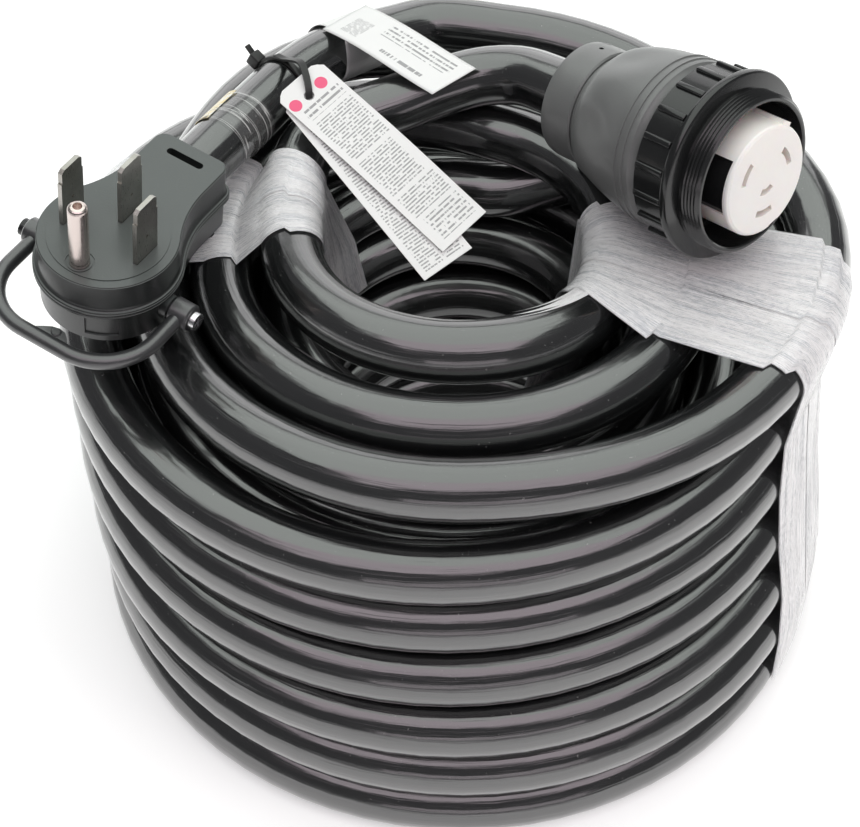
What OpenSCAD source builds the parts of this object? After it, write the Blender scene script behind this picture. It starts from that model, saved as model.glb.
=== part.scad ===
// Shore power cord, coiled for storage: 50 A four-blade plug with a folding bail, a round
// three-conductor-and-ground cord, and a locking connector with a threaded ring.
// Millimetres. The coil stands on the floor; +Z is up, the plug is at -X and the connector at +X.

/* [Cord] */
// Outer diameter of the cord
cord_d = 22.7; // [20:0.1:22.8]
// Clear space between neighbouring turns
lay_gap = 0.6; // [0.5:0.1:1.5]

/* [Plug] */
// Radius of the plug's face
face_r = 25.4; // [24.5:0.1:27]
// Thickness of the front cover
front_h = 13.5; // [12:0.5:15]
// Thickness of the rear cover
rear_h = 17.3; // [17:0.5:20]
// Distance from the face's centre to the end of the neck
neck_end = 53; // [50:1:58]
// Half width of the neck
neck_half = 15.3; // [14.6:0.1:16.5]
// Wall of both covers
cover_wall = 2.4; // [2:0.1:2.8]
// Height of the blades above the face
blade_h = 26; // [22:0.5:30]
// Width of the blades
blade_w = 12; // [10:0.5:13]
// Thickness of the blades
blade_t = 1.75; // [1.4:0.05:2]
// Spacing of the two line blades
blade_pitch = 31.75; // [30:0.25:33]
// Radius of the ground pin
pin_r = 3.6; // [3:0.1:4]
// Height of the ground pin above the face
pin_h = 28.5; // [26:0.5:32]

/* [Bail] */
// Radius of the bail's wire
bail_r = 2.9; // [2.4:0.1:3.1]
// Half width of the bail
bail_half = 34.5; // [33.5:0.5:38]
// Reach of the bail from its pivots
bail_reach = 41; // [38:0.5:43]
// Radius of the pivot screws
pivot_r = 1.6; // [1.4:0.1:1.9]
// Running clearance on the pivot screws
pivot_clearance = 0.06; // [0.04:0.01:0.09]

/* [Connector] */
// Radius of the connector's housing behind the ring
housing_r = 31.5; // [31:0.1:32.5]
// Radius of the cord grip at the connector's rear
grip_r = 22.4; // [21.5:0.1:24]
// Radius of the housing's nose, which the ring turns on
nose_r = 25.6; // [25.2:0.1:26]
// Running clearance of the ring on the nose
ring_clearance = 0.07; // [0.04:0.01:0.09]
// Radius of the ring's flange
flange_r = 35.1; // [34.5:0.1:36]
// Radius of the ring's ribbed band between its ribs
band_r = 32.2; // [31.8:0.1:33]
// Number of ribs round the band
rib_count = 19; // [16:1:24]
// Radius of the ring's mouth inside
mouth_r = 27; // [26.9:0.1:27.6]
// Radius of the contact carrier's face
carrier_r = 20.6; // [20:0.1:21.5]
// How far the carrier's face stands out of the mouth
carrier_out = 5.7; // [3:0.1:8]

/* [Labels and film] */
// Length of the hang tags
tag_len = 88; // [80:1:92]
// Width of the hang tags
tag_w = 23; // [21:1:26]
// Thickness of the tags and of the cord label
tag_t = 0.4; // [0.3:0.1:0.6]
// Thickness of the stretch film as wound on
film_t = 0.4; // [0.4:0.1:0.8]
// Space between the film and the cord
film_gap = 0.5; // [0.5:0.1:0.8]

/* [Hidden] */

$fn = 64;

// The whole object's box is centred on the origin by this shift.
place = [10.2, 2.3, 0];

// ---- Coil ----
cord_r = cord_d / 2;
pitch = cord_d + lay_gap;
// The coil stands on a flat a tenth of the cord's diameter deep.
foot_cut = cord_d / 10;
floor_z = cord_r - foot_cut;
turn = 360;
rings_per_turn = 24;
coil_sides = 6;

// Radii of the four nested columns of turns.
column_step = pitch + 1.5;
wall_r = 133;
column_b = wall_r - column_step;
column_c = column_b - column_step;
column_d = column_c - column_step;
function level(k) = floor_z + k * pitch;

// The cord's travel is an angle from the back, clockwise seen from above. It starts on top of the
// wall, descends the wall a level a turn, climbs, descends and climbs the three inner columns, and
// ends in two loose loops on top.
travel_start = 10;
wall_end = 6 * turn + 262;
b_start = wall_end + 40;
b_end = 11 * turn + 60;
c_start = b_end + 45;
c_end = 16 * turn + 44;
d_start = c_end + 45;
d_end = 21 * turn + 20;
travel_end = 22 * turn + 275;
inner_top = level(5) - 1.1;
core_top = level(5) - 1.4;

// Height along the travel: [angle, height, steady], where steady 1 is an even climb to that angle.
height_keys = concat(
    [[0, 151, 0], [40, 149.6, 0], [90, 149.6, 0], [120, 151, 0], [180, 154, 0], [265, 138, 0],
     [310, 140, 0], [375, level(5), 0]],
    [for (k = [5:-1:1], s = [0, 1])
        [(6 - k) * turn + (s == 0 ? 285 : 345 + 3 * k), level(k - s), 0]],
    [[b_start, floor_z, 0], [b_end, inner_top, 1], [c_start, inner_top, 0], [c_end, floor_z, 1],
     [d_start, floor_z, 0], [d_end, core_top, 1], [d_end + 4, core_top, 0], [d_end + 60, 148.5, 0],
     [21 * turn + 180, 156, 0], [21 * turn + 275, 142, 0], [21 * turn + 330, 142, 0],
     [22 * turn + 20, 150.6, 0], [22 * turn + 95, 150.2, 0], [22 * turn + 180, 168, 0],
     [travel_end, 157, 0]]);

// Radius along the travel: [angle, radius, 0].
radius_keys = [
    [0, 117, 0], [40, 119, 0], [90, 135, 0], [180, 123, 0], [265, 109, 0], [290, 110, 0],
    [350, wall_r, 0], [wall_end, wall_r, 0], [b_start, column_b, 0], [b_end, column_b, 0],
    [c_start, column_c, 0], [c_end, column_c, 0], [d_start, column_d, 0], [d_end - 4, column_d, 0],
    [d_end + 36, 84, 0], [21 * turn + 180, 97, 0], [21 * turn + 275, 86, 0],
    [21 * turn + 320, 86, 0], [22 * turn + 20, column_d, 0], [22 * turn + 90, column_d, 0],
    [22 * turn + 180, 73, 0], [22 * turn + 270, 62, 0]];

// The pile leans: the centre of its turns moves with height.
lean_y = [[20, -13], [57, -10], [80, -3], [103, 4], [125, 7.5], [150, 11]];
lean_x = [[34, 2], [80, -3], [125, -6], [150, 0]];

function eased(t) = t * t * (3 - 2 * t);
function keyed(keys, t, i = 0) =
    t <= keys[0][0] ? keys[0][1] :
    i >= len(keys) - 1 ? keys[len(keys) - 1][1] :
    t > keys[i + 1][0] ? keyed(keys, t, i + 1) :
    let (s = (t - keys[i][0]) / (keys[i + 1][0] - keys[i][0]))
    keys[i][1] + (keys[i + 1][1] - keys[i][1]) * (keys[i + 1][2] == 1 ? s : eased(s));
function cord_at(t) =
    let (z = keyed(height_keys, t), r = keyed(radius_keys, t))
    place + [lookup(z, lean_x) + r * sin(t), lookup(z, lean_y) + r * cos(t), z];

function unit(v) = v / norm(v);
start_dir = unit(cord_at(travel_start + 1) - cord_at(travel_start));
end_dir = unit(cord_at(travel_end) - cord_at(travel_end - 1));
ring_count = round((travel_end - travel_start) / turn * rings_per_turn);
coil_start = cord_at(travel_start) - start_dir * cord_d;
coil_end = cord_at(travel_end) + end_dir * cord_d;
coil_path = concat(
    [coil_start],
    [for (i = [0:ring_count]) cord_at(travel_start + (travel_end - travel_start) * i / ring_count)],
    [coil_end]);

// ---- Plug frame ----
// The plug lies on the coil with its face up: x runs to the neck, z out of the face.
plug_at = place + [-122.8, -22.9, 186.2];
plug_turn = [0, 0, 58.5];
plug_tilt = [5.6, 1.1, 0];
parting_gap = 0.2;
lead_y = 2.5;
lead_depth = 15.5;

// ---- Connector frame ----
// z runs out of the mouth, and the origin is in the plane of the mouth.
connector_at = place + [103.3, -8.1, 200.2];
connector_turn = [0, 78.3, -46];
grip_back = -84;

function rot_x(a) = [[1, 0, 0], [0, cos(a), -sin(a)], [0, sin(a), cos(a)]];
function rot_y(a) = [[cos(a), 0, sin(a)], [0, 1, 0], [-sin(a), 0, cos(a)]];
function rot_z(a) = [[cos(a), -sin(a), 0], [sin(a), cos(a), 0], [0, 0, 1]];
function plug_point(p) =
    plug_at + rot_z(plug_turn[2]) * rot_y(plug_tilt[1]) * rot_x(plug_tilt[0]) * p;
function connector_point(p) =
    connector_at + rot_z(connector_turn[2]) * rot_y(connector_turn[1]) * p;

// ---- Free leads, point by point ----
plug_lead_path = concat(
    [plug_point([neck_end, lead_y, -lead_depth]), plug_point([neck_end + 12, lead_y, -lead_depth]),
     plug_point([neck_end + 24, lead_y, -lead_depth])],
    [for (p = [[-78, 58.5, 168], [-67, 77, 166], [-54, 95, 163], [-40, 110, 159], [-25, 121.5, 154.5],
               [-12, 129, 152]]) place + p],
    [coil_start - start_dir * 4, coil_start]);
connector_lead_path = concat(
    [coil_end, coil_end + end_dir * 5],
    [for (p = [[-56, 51, 158.5], [-47.5, 59, 160], [-36, 64.5, 162], [-22, 69, 164.5], [-6, 73.4, 168.6],
               [10, 75, 172.6], [24, 71.4, 176.3]]) place + p],
    [connector_point([0, 0, grip_back - 14]), connector_point([0, 0, grip_back])]);

// A tube swept through points: rings of the given number of sides, flat side down, closed ends.
function path_dir(p, i) =
    i == 0 ? unit(p[1] - p[0]) :
    i == len(p) - 1 ? unit(p[i] - p[i - 1]) :
    unit(unit(p[i + 1] - p[i]) + unit(p[i] - p[i - 1]));
function ring_points(p, i, r, sides, low) =
    let (d = path_dir(p, i), s = unit(cross(d, [0, 0, 1])), u = cross(s, d))
    [for (k = [0:sides - 1])
        let (a = 360 * k / sides, q = p[i] + r * (cos(a) * s + sin(a) * u))
        [q[0], q[1], max(q[2], low)]];
module swept_tube(p, r, sides, low = 0) {
    n = len(p);
    points = [for (i = [0:n - 1]) each ring_points(p, i, r, sides, low)];
    walls = [for (i = [0:n - 2], k = [0:sides - 1])
        let (a = i * sides + k, b = i * sides + (k + 1) % sides)
        each [[a, b, a + sides], [b, b + sides, a + sides]]];
    first = [for (k = [1:sides - 2]) [0, k + 1, k]];
    last = [for (k = [1:sides - 2]) [(n - 1) * sides, (n - 1) * sides + k, (n - 1) * sides + k + 1]];
    polyhedron(points = points, faces = concat(walls, first, last), convexity = 12);
}

// Least distance between turns that are half a turn or more apart along the cord.
function length_of(p, i = 0, sum = 0) =
    i >= len(p) - 1 ? sum : length_of(p, i + 1, sum + norm(p[i + 1] - p[i]));
far_steps = rings_per_turn / 2;
coil_gap = min([for (i = [0:len(coil_path) - 1 - far_steps])
    min([for (j = [i + far_steps:len(coil_path) - 1])
        let (m = j < len(coil_path) - 1 ? (coil_path[j] + coil_path[j + 1]) / 2 : coil_path[j])
        min(norm(coil_path[i] - coil_path[j]), norm(coil_path[i] - m))])]) - cord_d;

module in_plug() { translate(plug_at) rotate(plug_turn) rotate(plug_tilt) children(); }
module in_connector() { translate(connector_at) rotate(connector_turn) children(); }

module cord_coil() {
    echo(coil_loops = (travel_end - travel_start) / turn);
    echo(least_gap_of_the_coil_to_itself = coil_gap);
    echo(cord_length = length_of(coil_path) + length_of(plug_lead_path) + length_of(connector_lead_path));
    color([0.07, 0.07, 0.075]) swept_tube(coil_path, cord_r, coil_sides);
}
module plug_lead() { color([0.07, 0.07, 0.075]) swept_tube(plug_lead_path, cord_r, 12); }
module connector_lead() { color([0.07, 0.07, 0.075]) swept_tube(connector_lead_path, cord_r, 12); }

// ---- Plug ----
// Outline of the covers, drawn in by inset: a disc that runs through concave sides into a neck.
join_a = 58.6;
neck_corner = 4.5;
side_r = (face_r * sin(join_a) - neck_half) / (1 - sin(join_a));
side_x = (face_r + side_r) * cos(join_a);
side_y = (face_r + side_r) * sin(join_a);
function arc(cx, cy, r, a0, a1, n) =
    [for (i = [0:n]) let (a = a0 + (a1 - a0) * i / n) [cx + r * cos(a), cy + r * sin(a)]];
function cover_outline(inset) = concat(
    arc(0, 0, face_r - inset, join_a, 360 - join_a, 48),
    arc(side_x, -side_y, side_r + inset, 180 - join_a, 90, 10),
    arc(neck_end - neck_corner, -(neck_half - neck_corner), neck_corner - inset, -90, 0, 6),
    arc(neck_end - neck_corner, neck_half - neck_corner, neck_corner - inset, 0, 90, 6),
    arc(side_x, side_y, side_r + inset, -90, -180 + join_a, 10));
module cover_layer(inset, z0, z1) {
    translate([0, 0, z0]) linear_extrude(z1 - z0) polygon(cover_outline(inset));
}

slot_x = 46;
slot_len = 15.5;
slot_w = 3;
face_plate_r = 21.8;
face_plate_t = 3.2;
face_proud = 0.3;
fit = 0.1;
neutral_x = 12.7;
pin_x = -16.5;
pin_tail_r = pin_r - 0.4;
ridge_out = 1.6;
ridge_h = 1.4;
front_back = -front_h;
rear_front = front_back - parting_gap;
rear_back = rear_front - rear_h;

module cord_hole(depth_from, depth_to, r) {
    translate([depth_from, lead_y, -lead_depth]) rotate([0, 90, 0])
        cylinder(h = depth_to - depth_from, r = r);
}
// Front cover: a shallow shell with a rim, open behind, that holds the face plate.
module plug_front_cover() {
    color([0.13, 0.14, 0.14]) in_plug() difference() {
        union() {
            cover_layer(0.7, -1, 0);
            cover_layer(0, front_back + ridge_h, -1);
            cover_layer(-ridge_out, front_back, front_back + ridge_h);
        }
        difference() {
            cover_layer(cover_wall, front_back - 1, -face_plate_t);
            for (p = screw_posts) translate([p[0], p[1], front_back])
                cylinder(h = front_h - face_plate_t, r = post_r);
        }
        for (p = screw_posts) translate([p[0], p[1], front_back - 1]) cylinder(h = 5, r = cover_screw_r);
        translate([0, 0, -face_plate_t - 1]) cylinder(h = face_plate_t + 2, r = face_plate_r + fit);
        translate([slot_x - slot_w / 2, -slot_len / 2, -face_plate_t - 1])
            cube([slot_w, slot_len, face_plate_t + 2]);
        cord_hole(neck_end - cover_wall - 1, neck_end + ridge_out + 1, cord_r + fit);
    }
}

bail_z = -21;
boss_r = 4.6;
boss_out = 27.8;
pivot_depth = 9;
cord_clamp_x = 30;
cord_clamp_len = 6;
cord_clamp_r = cord_r - 1.5;
conductor_r = 2.7;
conductor_out = 5.2;
conductor_ends = [-4, 22, 22, -14];
// Rear cover: the deeper shell, with the pivot bosses for the bail and posts for the cover screws.
post_r = 2.6;
cover_screw_r = 1.5;
screw_posts = [[43.5, 12], [43.5, -12], [-6, 20.2], [-6, -20.2]];
cover_screw_len = rear_h + 3;
module plug_rear_cover() {
    color([0.12, 0.13, 0.13]) in_plug() difference() {
        union() {
            difference() {
                union() {
                    cover_layer(-ridge_out, rear_front - 1.2, rear_front);
                    cover_layer(0.4, rear_back + 1.5, rear_front - 1.2);
                    cover_layer(1.6, rear_back, rear_back + 1.5);
                }
                cover_layer(cover_wall + 0.4, rear_back + cover_wall, rear_front + 1);
            }
            for (s = [-1, 1]) translate([0, s * (face_r - 4), bail_z])
                rotate([-90 * s, 0, 0]) cylinder(h = boss_out - face_r + 4, r = boss_r);
            for (p = screw_posts) translate([p[0], p[1], rear_back + 1])
                cylinder(h = rear_h - 1.2, r = post_r);
        }
        for (s = [-1, 1]) translate([0, s * (boss_out + 1), bail_z]) rotate([90 * s, 0, 0])
            cylinder(h = pivot_depth + 1, r = pivot_r);
        for (p = screw_posts) translate([p[0], p[1], rear_back - 1])
            cylinder(h = rear_h + 2, r = cover_screw_r);
        for (p = screw_posts) translate([p[0], p[1], rear_back - 1]) cylinder(h = 2.4, r = 2.9);
        cord_hole(neck_end - cover_wall - 2, neck_end + ridge_out + 1, cord_r + fit);
    }
}
// Four long screws that hold the covers together, heads sunk in the rear.
module plug_cover_screws() {
    color("silver") in_plug() for (p = screw_posts) translate([p[0], p[1], rear_back + 0.2]) {
        difference() {
            cylinder(h = 1.1, r = 2.7);
            for (a = [0, 90]) rotate(a) translate([-1.6, -0.25, -0.5]) cube([3.2, 0.5, 1]);
        }
        cylinder(h = cover_screw_len, r = cover_screw_r - 0.05);
    }
}
// Face plate: the round moulding that the blades pass through, with a collar round the ground pin.
module plug_face() {
    color([0.14, 0.15, 0.15]) in_plug() difference() {
        translate([0, 0, -face_plate_t]) cylinder(h = face_plate_t + face_proud, r = face_plate_r);
        for (y = [-blade_pitch / 2, blade_pitch / 2])
            translate([-blade_w / 2 - fit, y - blade_t / 2 - fit, -face_plate_t - 1])
            cube([blade_w + 2 * fit, blade_t + 2 * fit, face_plate_t + 2]);
        translate([neutral_x - blade_w / 2 - fit, -blade_t / 2 - fit, -face_plate_t - 1])
            cube([blade_w + 2 * fit, blade_t + 2 * fit, face_plate_t + 2]);
        translate([pin_x, 0, -face_plate_t - 1]) cylinder(h = face_plate_t + 2, r = pin_r + fit);
        translate([pin_x, 0, -face_proud]) difference() {
            cylinder(h = 1, r = pin_r + 1.6);
            translate([0, 0, -0.5]) cylinder(h = 2, r = pin_r + 0.9);
        }
    }
}
// A blade with its shoulders cut in below the tip, and its tail inside the plug.
blade_tail = 12;
shoulder_h = 6;
shoulder_in = 0.5;
tip_chamfer = 1.2;
module blade() {
    translate([0, blade_t / 2, 0]) rotate([90, 0, 0]) linear_extrude(blade_t) difference() {
        polygon([[-blade_w / 2, -blade_tail], [blade_w / 2, -blade_tail], [blade_w / 2, blade_h - shoulder_h],
                 [blade_w / 2 - shoulder_in, blade_h - shoulder_h],
                 [blade_w / 2 - shoulder_in, blade_h - tip_chamfer], [blade_w / 2 - 2, blade_h],
                 [2 - blade_w / 2, blade_h], [shoulder_in - blade_w / 2, blade_h - tip_chamfer],
                 [shoulder_in - blade_w / 2, blade_h - shoulder_h], [-blade_w / 2, blade_h - shoulder_h]]);
        translate([0, blade_h - 16]) circle(r = 0.6, $fn = 24);
    }
}
module line_blades() {
    color("silver") in_plug() for (s = [-1, 1]) translate([0, s * blade_pitch / 2, 0]) blade();
}
module neutral_blade() { color("silver") in_plug() translate([neutral_x, 0, 0]) blade(); }
// Ground pin: a round pin, longer than the blades, with a hollow tip.
module ground_pin() {
    color([0.85, 0.8, 0.78]) in_plug() translate([pin_x, 0, 0]) difference() {
        union() {
            translate([0, 0, -blade_tail]) cylinder(h = blade_tail + 1, r = pin_tail_r);
            translate([0, 0, face_proud]) cylinder(h = pin_h - 2 - face_proud, r = pin_r);
            translate([0, 0, pin_h - 2]) rotate_extrude() polygon(concat([[0, 0]],
                [for (a = [0:15:90]) [pin_r - 2 + 2 * cos(a), 2 * sin(a)]], [[0, 2]]));
        }
        translate([0, 0, pin_h - 4]) cylinder(h = 5, r = 1.7);
    }
}
// Brass clamp block behind each blade and behind the pin.
clamp_t = 5;
clamp_w = 9;
clamp_h = 8;
clamp_low = -face_plate_t - 1 - clamp_h;
line_side = blade_pitch / 2 - blade_t / 2;
module blade_clamps() {
    color([0.75, 0.6, 0.3]) in_plug() {
        for (y = [line_side - clamp_t, -line_side]) translate([-clamp_w / 2, y, clamp_low])
            cube([clamp_w, clamp_t, clamp_h]);
        translate([neutral_x - clamp_w / 2, blade_t / 2, clamp_low]) cube([clamp_w, clamp_t, clamp_h]);
        translate([pin_x + pin_tail_r, -clamp_w / 2, clamp_low]) cube([clamp_t, clamp_w, clamp_h]);
    }
}
clamp_screw_r = 1.8;
clamp_screw_h = 2;
clamp_screw_low = clamp_low - clamp_screw_h;
module clamp_screws() {
    color("silver") in_plug() {
        for (y = [line_side - clamp_t / 2, -line_side + clamp_t / 2])
            translate([0, y, clamp_screw_low]) cylinder(h = clamp_screw_h, r = clamp_screw_r);
        translate([neutral_x, blade_t / 2 + clamp_t / 2, clamp_screw_low])
            cylinder(h = clamp_screw_h, r = clamp_screw_r);
        translate([pin_x + pin_tail_r + clamp_t / 2, 0, clamp_screw_low])
            cylinder(h = clamp_screw_h, r = clamp_screw_r);
    }
}
// Saddle that grips the cord inside the neck.
module plug_cord_clamp() {
    color([0.2, 0.2, 0.2]) in_plug() translate([cord_clamp_x, lead_y, -lead_depth]) rotate([0, 90, 0])
        difference() {
            union() {
                cylinder(h = cord_clamp_len, r = cord_clamp_r);
                translate([0, -6, 0]) cube([-rear_back - cover_wall - lead_depth, 12, cord_clamp_len]);
            }
            for (a = [45:90:315]) rotate(a) translate([conductor_out, 0, -1])
                cylinder(h = cord_clamp_len + 2, r = conductor_r + 0.1);
        }
}
// Four insulated conductors: black, red, white and green, from the cord to the clamps.
conductor_colours = [[0.05, 0.05, 0.05], [0.7, 0.05, 0.05], [0.9, 0.9, 0.88], [0.05, 0.45, 0.15]];
module plug_conductors() {
    in_plug() for (k = [0:3]) let (a = 45 + 90 * k)
        color(conductor_colours[k]) translate([conductor_ends[k], lead_y, -lead_depth]) rotate([0, 90, 0])
            rotate(a) translate([conductor_out, 0, 0])
                cylinder(h = neck_end - conductor_ends[k], r = conductor_r);
}

// Bail: a bent round bar with flattened eyes that turn on two screws.
eye_r = 5.2;
eye_t = 8;
eye_gap = 0.3;
bend_r = 22;
eye_y = boss_out + eye_gap;
bail_leg = bail_reach - bend_r - bail_r;
module bail_bend() {
    rotate_extrude(angle = 90, $fn = 96) translate([bend_r, 0]) circle(r = bail_r, $fn = 32);
}
module bail() {
    leg_y = bail_half - bail_r;
    bar_x = -(bail_reach - bail_r);
    color([0.11, 0.12, 0.12]) in_plug() translate([0, 0, bail_z]) difference() {
        union() {
            for (s = [-1, 1]) {
                translate([0, s * eye_y, 0]) rotate([-90 * s, 0, 0]) cylinder(h = eye_t, r = eye_r);
                translate([bar_x + bend_r, s * leg_y, 0]) rotate([0, 90, 0])
                    cylinder(h = bail_leg - 1, r = bail_r, $fn = 32);
            }
            translate([bar_x + bend_r, leg_y - bend_r, 0]) rotate([0, 0, 90]) bail_bend();
            translate([bar_x + bend_r, -leg_y + bend_r, 0]) rotate([0, 0, 180]) bail_bend();
            translate([bar_x, -leg_y + bend_r, 0]) rotate([-90, 0, 0])
                cylinder(h = 2 * (leg_y - bend_r), r = bail_r, $fn = 32);
        }
        for (s = [-1, 1]) translate([0, s * (eye_y - 1), 0]) rotate([-90 * s, 0, 0])
            cylinder(h = eye_t + 4, r = pivot_r + pivot_clearance);
    }
}
bail_screw_head = 2.2;
module bail_screws() {
    color("silver") in_plug() for (s = [-1, 1]) translate([0, s * (eye_y + eye_t + eye_gap), bail_z])
        rotate([-90 * s, 0, 0]) {
            difference() {
                cylinder(h = bail_screw_head, r = 3.3);
                for (a = [0, 90]) rotate(a) translate([-2, -0.35, bail_screw_head - 0.9]) cube([4, 0.7, 2]);
            }
            translate([0, 0, -(eye_t + 2 * eye_gap + pivot_depth - 1)])
                cylinder(h = eye_t + 2 * eye_gap + pivot_depth - 1, r = pivot_r);
        }
}

// ---- Connector ----
nose_front = -22;
band_back = -27.8;
collar_back = -31;
dome_back = -67;
carrier_base_r = nose_r - 3.4;
carrier_back = -42;
grip_len = 15;
grip_bore_r = cord_r + 6;
bell_end_r = grip_r - 1.2;
housing_bore_r = carrier_base_r + fit;
retainer_back = -24.9;
retainer_t = 1.2;
step_z = [-35, -38.5];
step_w = 1.2;
step_out = 0.5;
bell_front = collar_back - 2;
// The dome's side is a quarter of an ellipse, from the full housing down to the cord grip.
dome_len = bell_front - dome_back;
dome_rise = housing_r - bell_end_r;
function bell_r(z) = bell_end_r + dome_rise * sqrt(1 - pow((bell_front - z) / dome_len, 2));
// Housing: a dome that closes in to the cord grip, with two raised steps round it and the nose that
// carries the ring.
housing_profile = concat(
    [[housing_bore_r, nose_front], [nose_r, nose_front], [nose_r, band_back - 0.4],
     [housing_r - 2.6, band_back - 0.4], [housing_r - 1.4, collar_back], [housing_r, bell_front]],
    [for (a = [9:9:90]) [bell_end_r + dome_rise * cos(a), bell_front - dome_len * sin(a)]],
    [[bell_end_r, grip_back + grip_len], [grip_bore_r, grip_back + grip_len],
     [grip_bore_r, carrier_back - 6], [housing_bore_r, carrier_back - 1]]);
module connector_housing() {
    color([0.17, 0.18, 0.18]) in_connector() difference() {
        union() {
            rotate_extrude($fn = 96) polygon(housing_profile);
            for (z = step_z) translate([0, 0, z]) rotate_extrude($fn = 96)
                translate([housing_bore_r + 2, 0])
                    square([bell_r(z) + step_out - housing_bore_r - 2, step_w]);
        }
        translate([0, 0, retainer_back - fit]) rotate_extrude() translate([nose_r - 0.8, 0])
            square([2, retainer_t + 2 * fit]);
    }
}
// Cord grip: two halves round the cord, screwed together.
module connector_grip() {
    color([0.15, 0.16, 0.16]) in_connector() translate([0, 0, grip_back]) difference() {
        cylinder(h = grip_len - 0.2, r = grip_r);
        translate([0, 0, 1.8]) cylinder(h = grip_len, r = grip_bore_r);
        translate([0, 0, -1]) cylinder(h = 4, r = cord_r + 1.6);
        for (a = grip_screw_angles) rotate(a) translate([grip_r - 4.2, 0, grip_screw_z]) rotate([0, 90, 0])
            cylinder(h = 6, r = 1.1);
    }
}
grip_screw_angles = [120, 165];
grip_screw_z = 8;
module grip_screws() {
    color([0.3, 0.3, 0.3]) in_connector() translate([0, 0, grip_back]) for (a = grip_screw_angles)
        rotate(a) translate([grip_r - 4, 0, grip_screw_z]) rotate([0, 90, 0]) cylinder(h = 2.6, r = 1);
}
// Rubber grommet between the grip and the cord.
module cord_grommet() {
    color([0.05, 0.05, 0.05]) in_connector() translate([0, 0, grip_back + 2]) difference() {
        cylinder(h = 16, r = grip_bore_r - 0.2);
        translate([0, 0, -1]) cylinder(h = 18, r = cord_r - 1.2);
    }
}
// White nylon carrier: a core with curved contact slots, a key on its side and a notch.
slot_r = 12.4;
slot_wide = 2.4;
slot_span = 38;
slot_depth = 16;
contact_angles = [110, 230, 350];
ground_r = 4.2;
ground_span = 80;
module arc_slot(r, wide, span, z0, z1) {
    rotate(-span / 2) translate([0, 0, z0]) rotate_extrude(angle = span) translate([r - wide / 2, 0])
        square([wide, z1 - z0]);
}
gasket_t = 1.6;
key_back = nose_front + gasket_t + 0.3;
window_a = 250;
window_deep = 5;
key_a = 141;
key_w = 4.4;
key_proud = 1.3;
notch_a = 8;
notch_w = 4.8;
notch_deep = 1.4;
window_w = 20;
window_low = -16;
window_high = carrier_out - 2.2;
module carrier_body() {
    rotate_extrude($fn = 96) polygon([[0, carrier_back], [carrier_base_r, carrier_back],
        [carrier_base_r, nose_front - 2], [carrier_r, nose_front - 2], [carrier_r, carrier_out - 1.2],
        [carrier_r - 0.3, carrier_out - 0.5], [carrier_r - 1.2, carrier_out], [0, carrier_out]]);
    rotate(key_a) translate([carrier_r - 1, -key_w / 2, key_back])
        cube([key_proud + 1, key_w, carrier_out - key_back - 1]);
}
module contact_carrier() {
    color([0.94, 0.92, 0.88]) in_connector() difference() {
        carrier_body();
        for (a = contact_angles) rotate(a)
            arc_slot(slot_r, slot_wide, slot_span, carrier_out - slot_depth, carrier_out + 1);
        arc_slot(ground_r, slot_wide, ground_span, carrier_out - slot_depth, carrier_out + 1);
        for (a = contact_angles) rotate(a) translate([slot_r, 0, carrier_back - 1])
            cylinder(h = 14, r = conductor_r + fit);
        translate([ground_r, 0, carrier_back - 1]) cylinder(h = 14, r = conductor_r + fit);
        rotate(window_a) translate([carrier_r - window_deep, -window_w / 2, window_low])
            cube([window_deep + 3, window_w, window_high - window_low]);
        rotate(notch_a) translate([carrier_r - notch_deep, -notch_w / 2, nose_front - 1])
            cube([notch_deep + 2, notch_w, carrier_out - nose_front + 2]);
    }
}
// Black insert in the side of the carrier.
module carrier_window() {
    color([0.05, 0.05, 0.05]) in_connector() intersection() {
        rotate(window_a) translate([carrier_r - window_deep + fit, -window_w / 2 + fit, window_low + fit])
            cube([window_deep + 3, window_w - 2 * fit, window_high - window_low - 2 * fit]);
        translate([0, 0, window_low]) cylinder(h = window_high - window_low, r = carrier_r - 1, $fn = 96);
    }
}
// Brass contacts at the bottom of the slots.
contact_h = 6;
contact_low = carrier_out - slot_depth + 0.1;
module contact(a) {
    rotate(a) arc_slot(slot_r, slot_wide - 2 * fit, slot_span - 3, contact_low,
        contact_low - 0.1 + contact_h);
}
module line_contacts() {
    color([0.75, 0.6, 0.3]) in_connector() for (a = [contact_angles[1], contact_angles[2]]) contact(a);
}
module neutral_contact() { color("silver") in_connector() contact(contact_angles[0]); }
module ground_contact() {
    color([0.75, 0.6, 0.3]) in_connector()
        arc_slot(ground_r, slot_wide - 2 * fit, ground_span - 6, contact_low, contact_low - 0.1 + contact_h);
}
// Clamping screws at the carrier's rear, one a contact.
module contact_screws() {
    color("silver") in_connector() for (a = contact_angles) rotate(a)
        translate([slot_r + 5.5, 0, carrier_back - 1.5]) cylinder(h = 1.5, r = 1.6);
}
conductor_back = grip_back + 19;
conductor_len = carrier_back + 12 - conductor_back;
module connector_conductors() {
    in_connector() {
        for (k = [0:2]) color(conductor_colours[k]) rotate(contact_angles[k])
            translate([slot_r, 0, conductor_back]) cylinder(h = conductor_len, r = conductor_r);
        color(conductor_colours[3]) translate([ground_r, 0, conductor_back])
            cylinder(h = conductor_len, r = conductor_r);
    }
}
// Rubber washer on the end of the nose, at the bottom of the mouth.
module face_gasket() {
    color([0.05, 0.05, 0.05]) in_connector() translate([0, 0, nose_front + 0.05]) difference() {
        cylinder(h = gasket_t, r = nose_r - 0.2);
        translate([0, 0, -1]) cylinder(h = 4, r = carrier_r + 0.4);
    }
}
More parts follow.
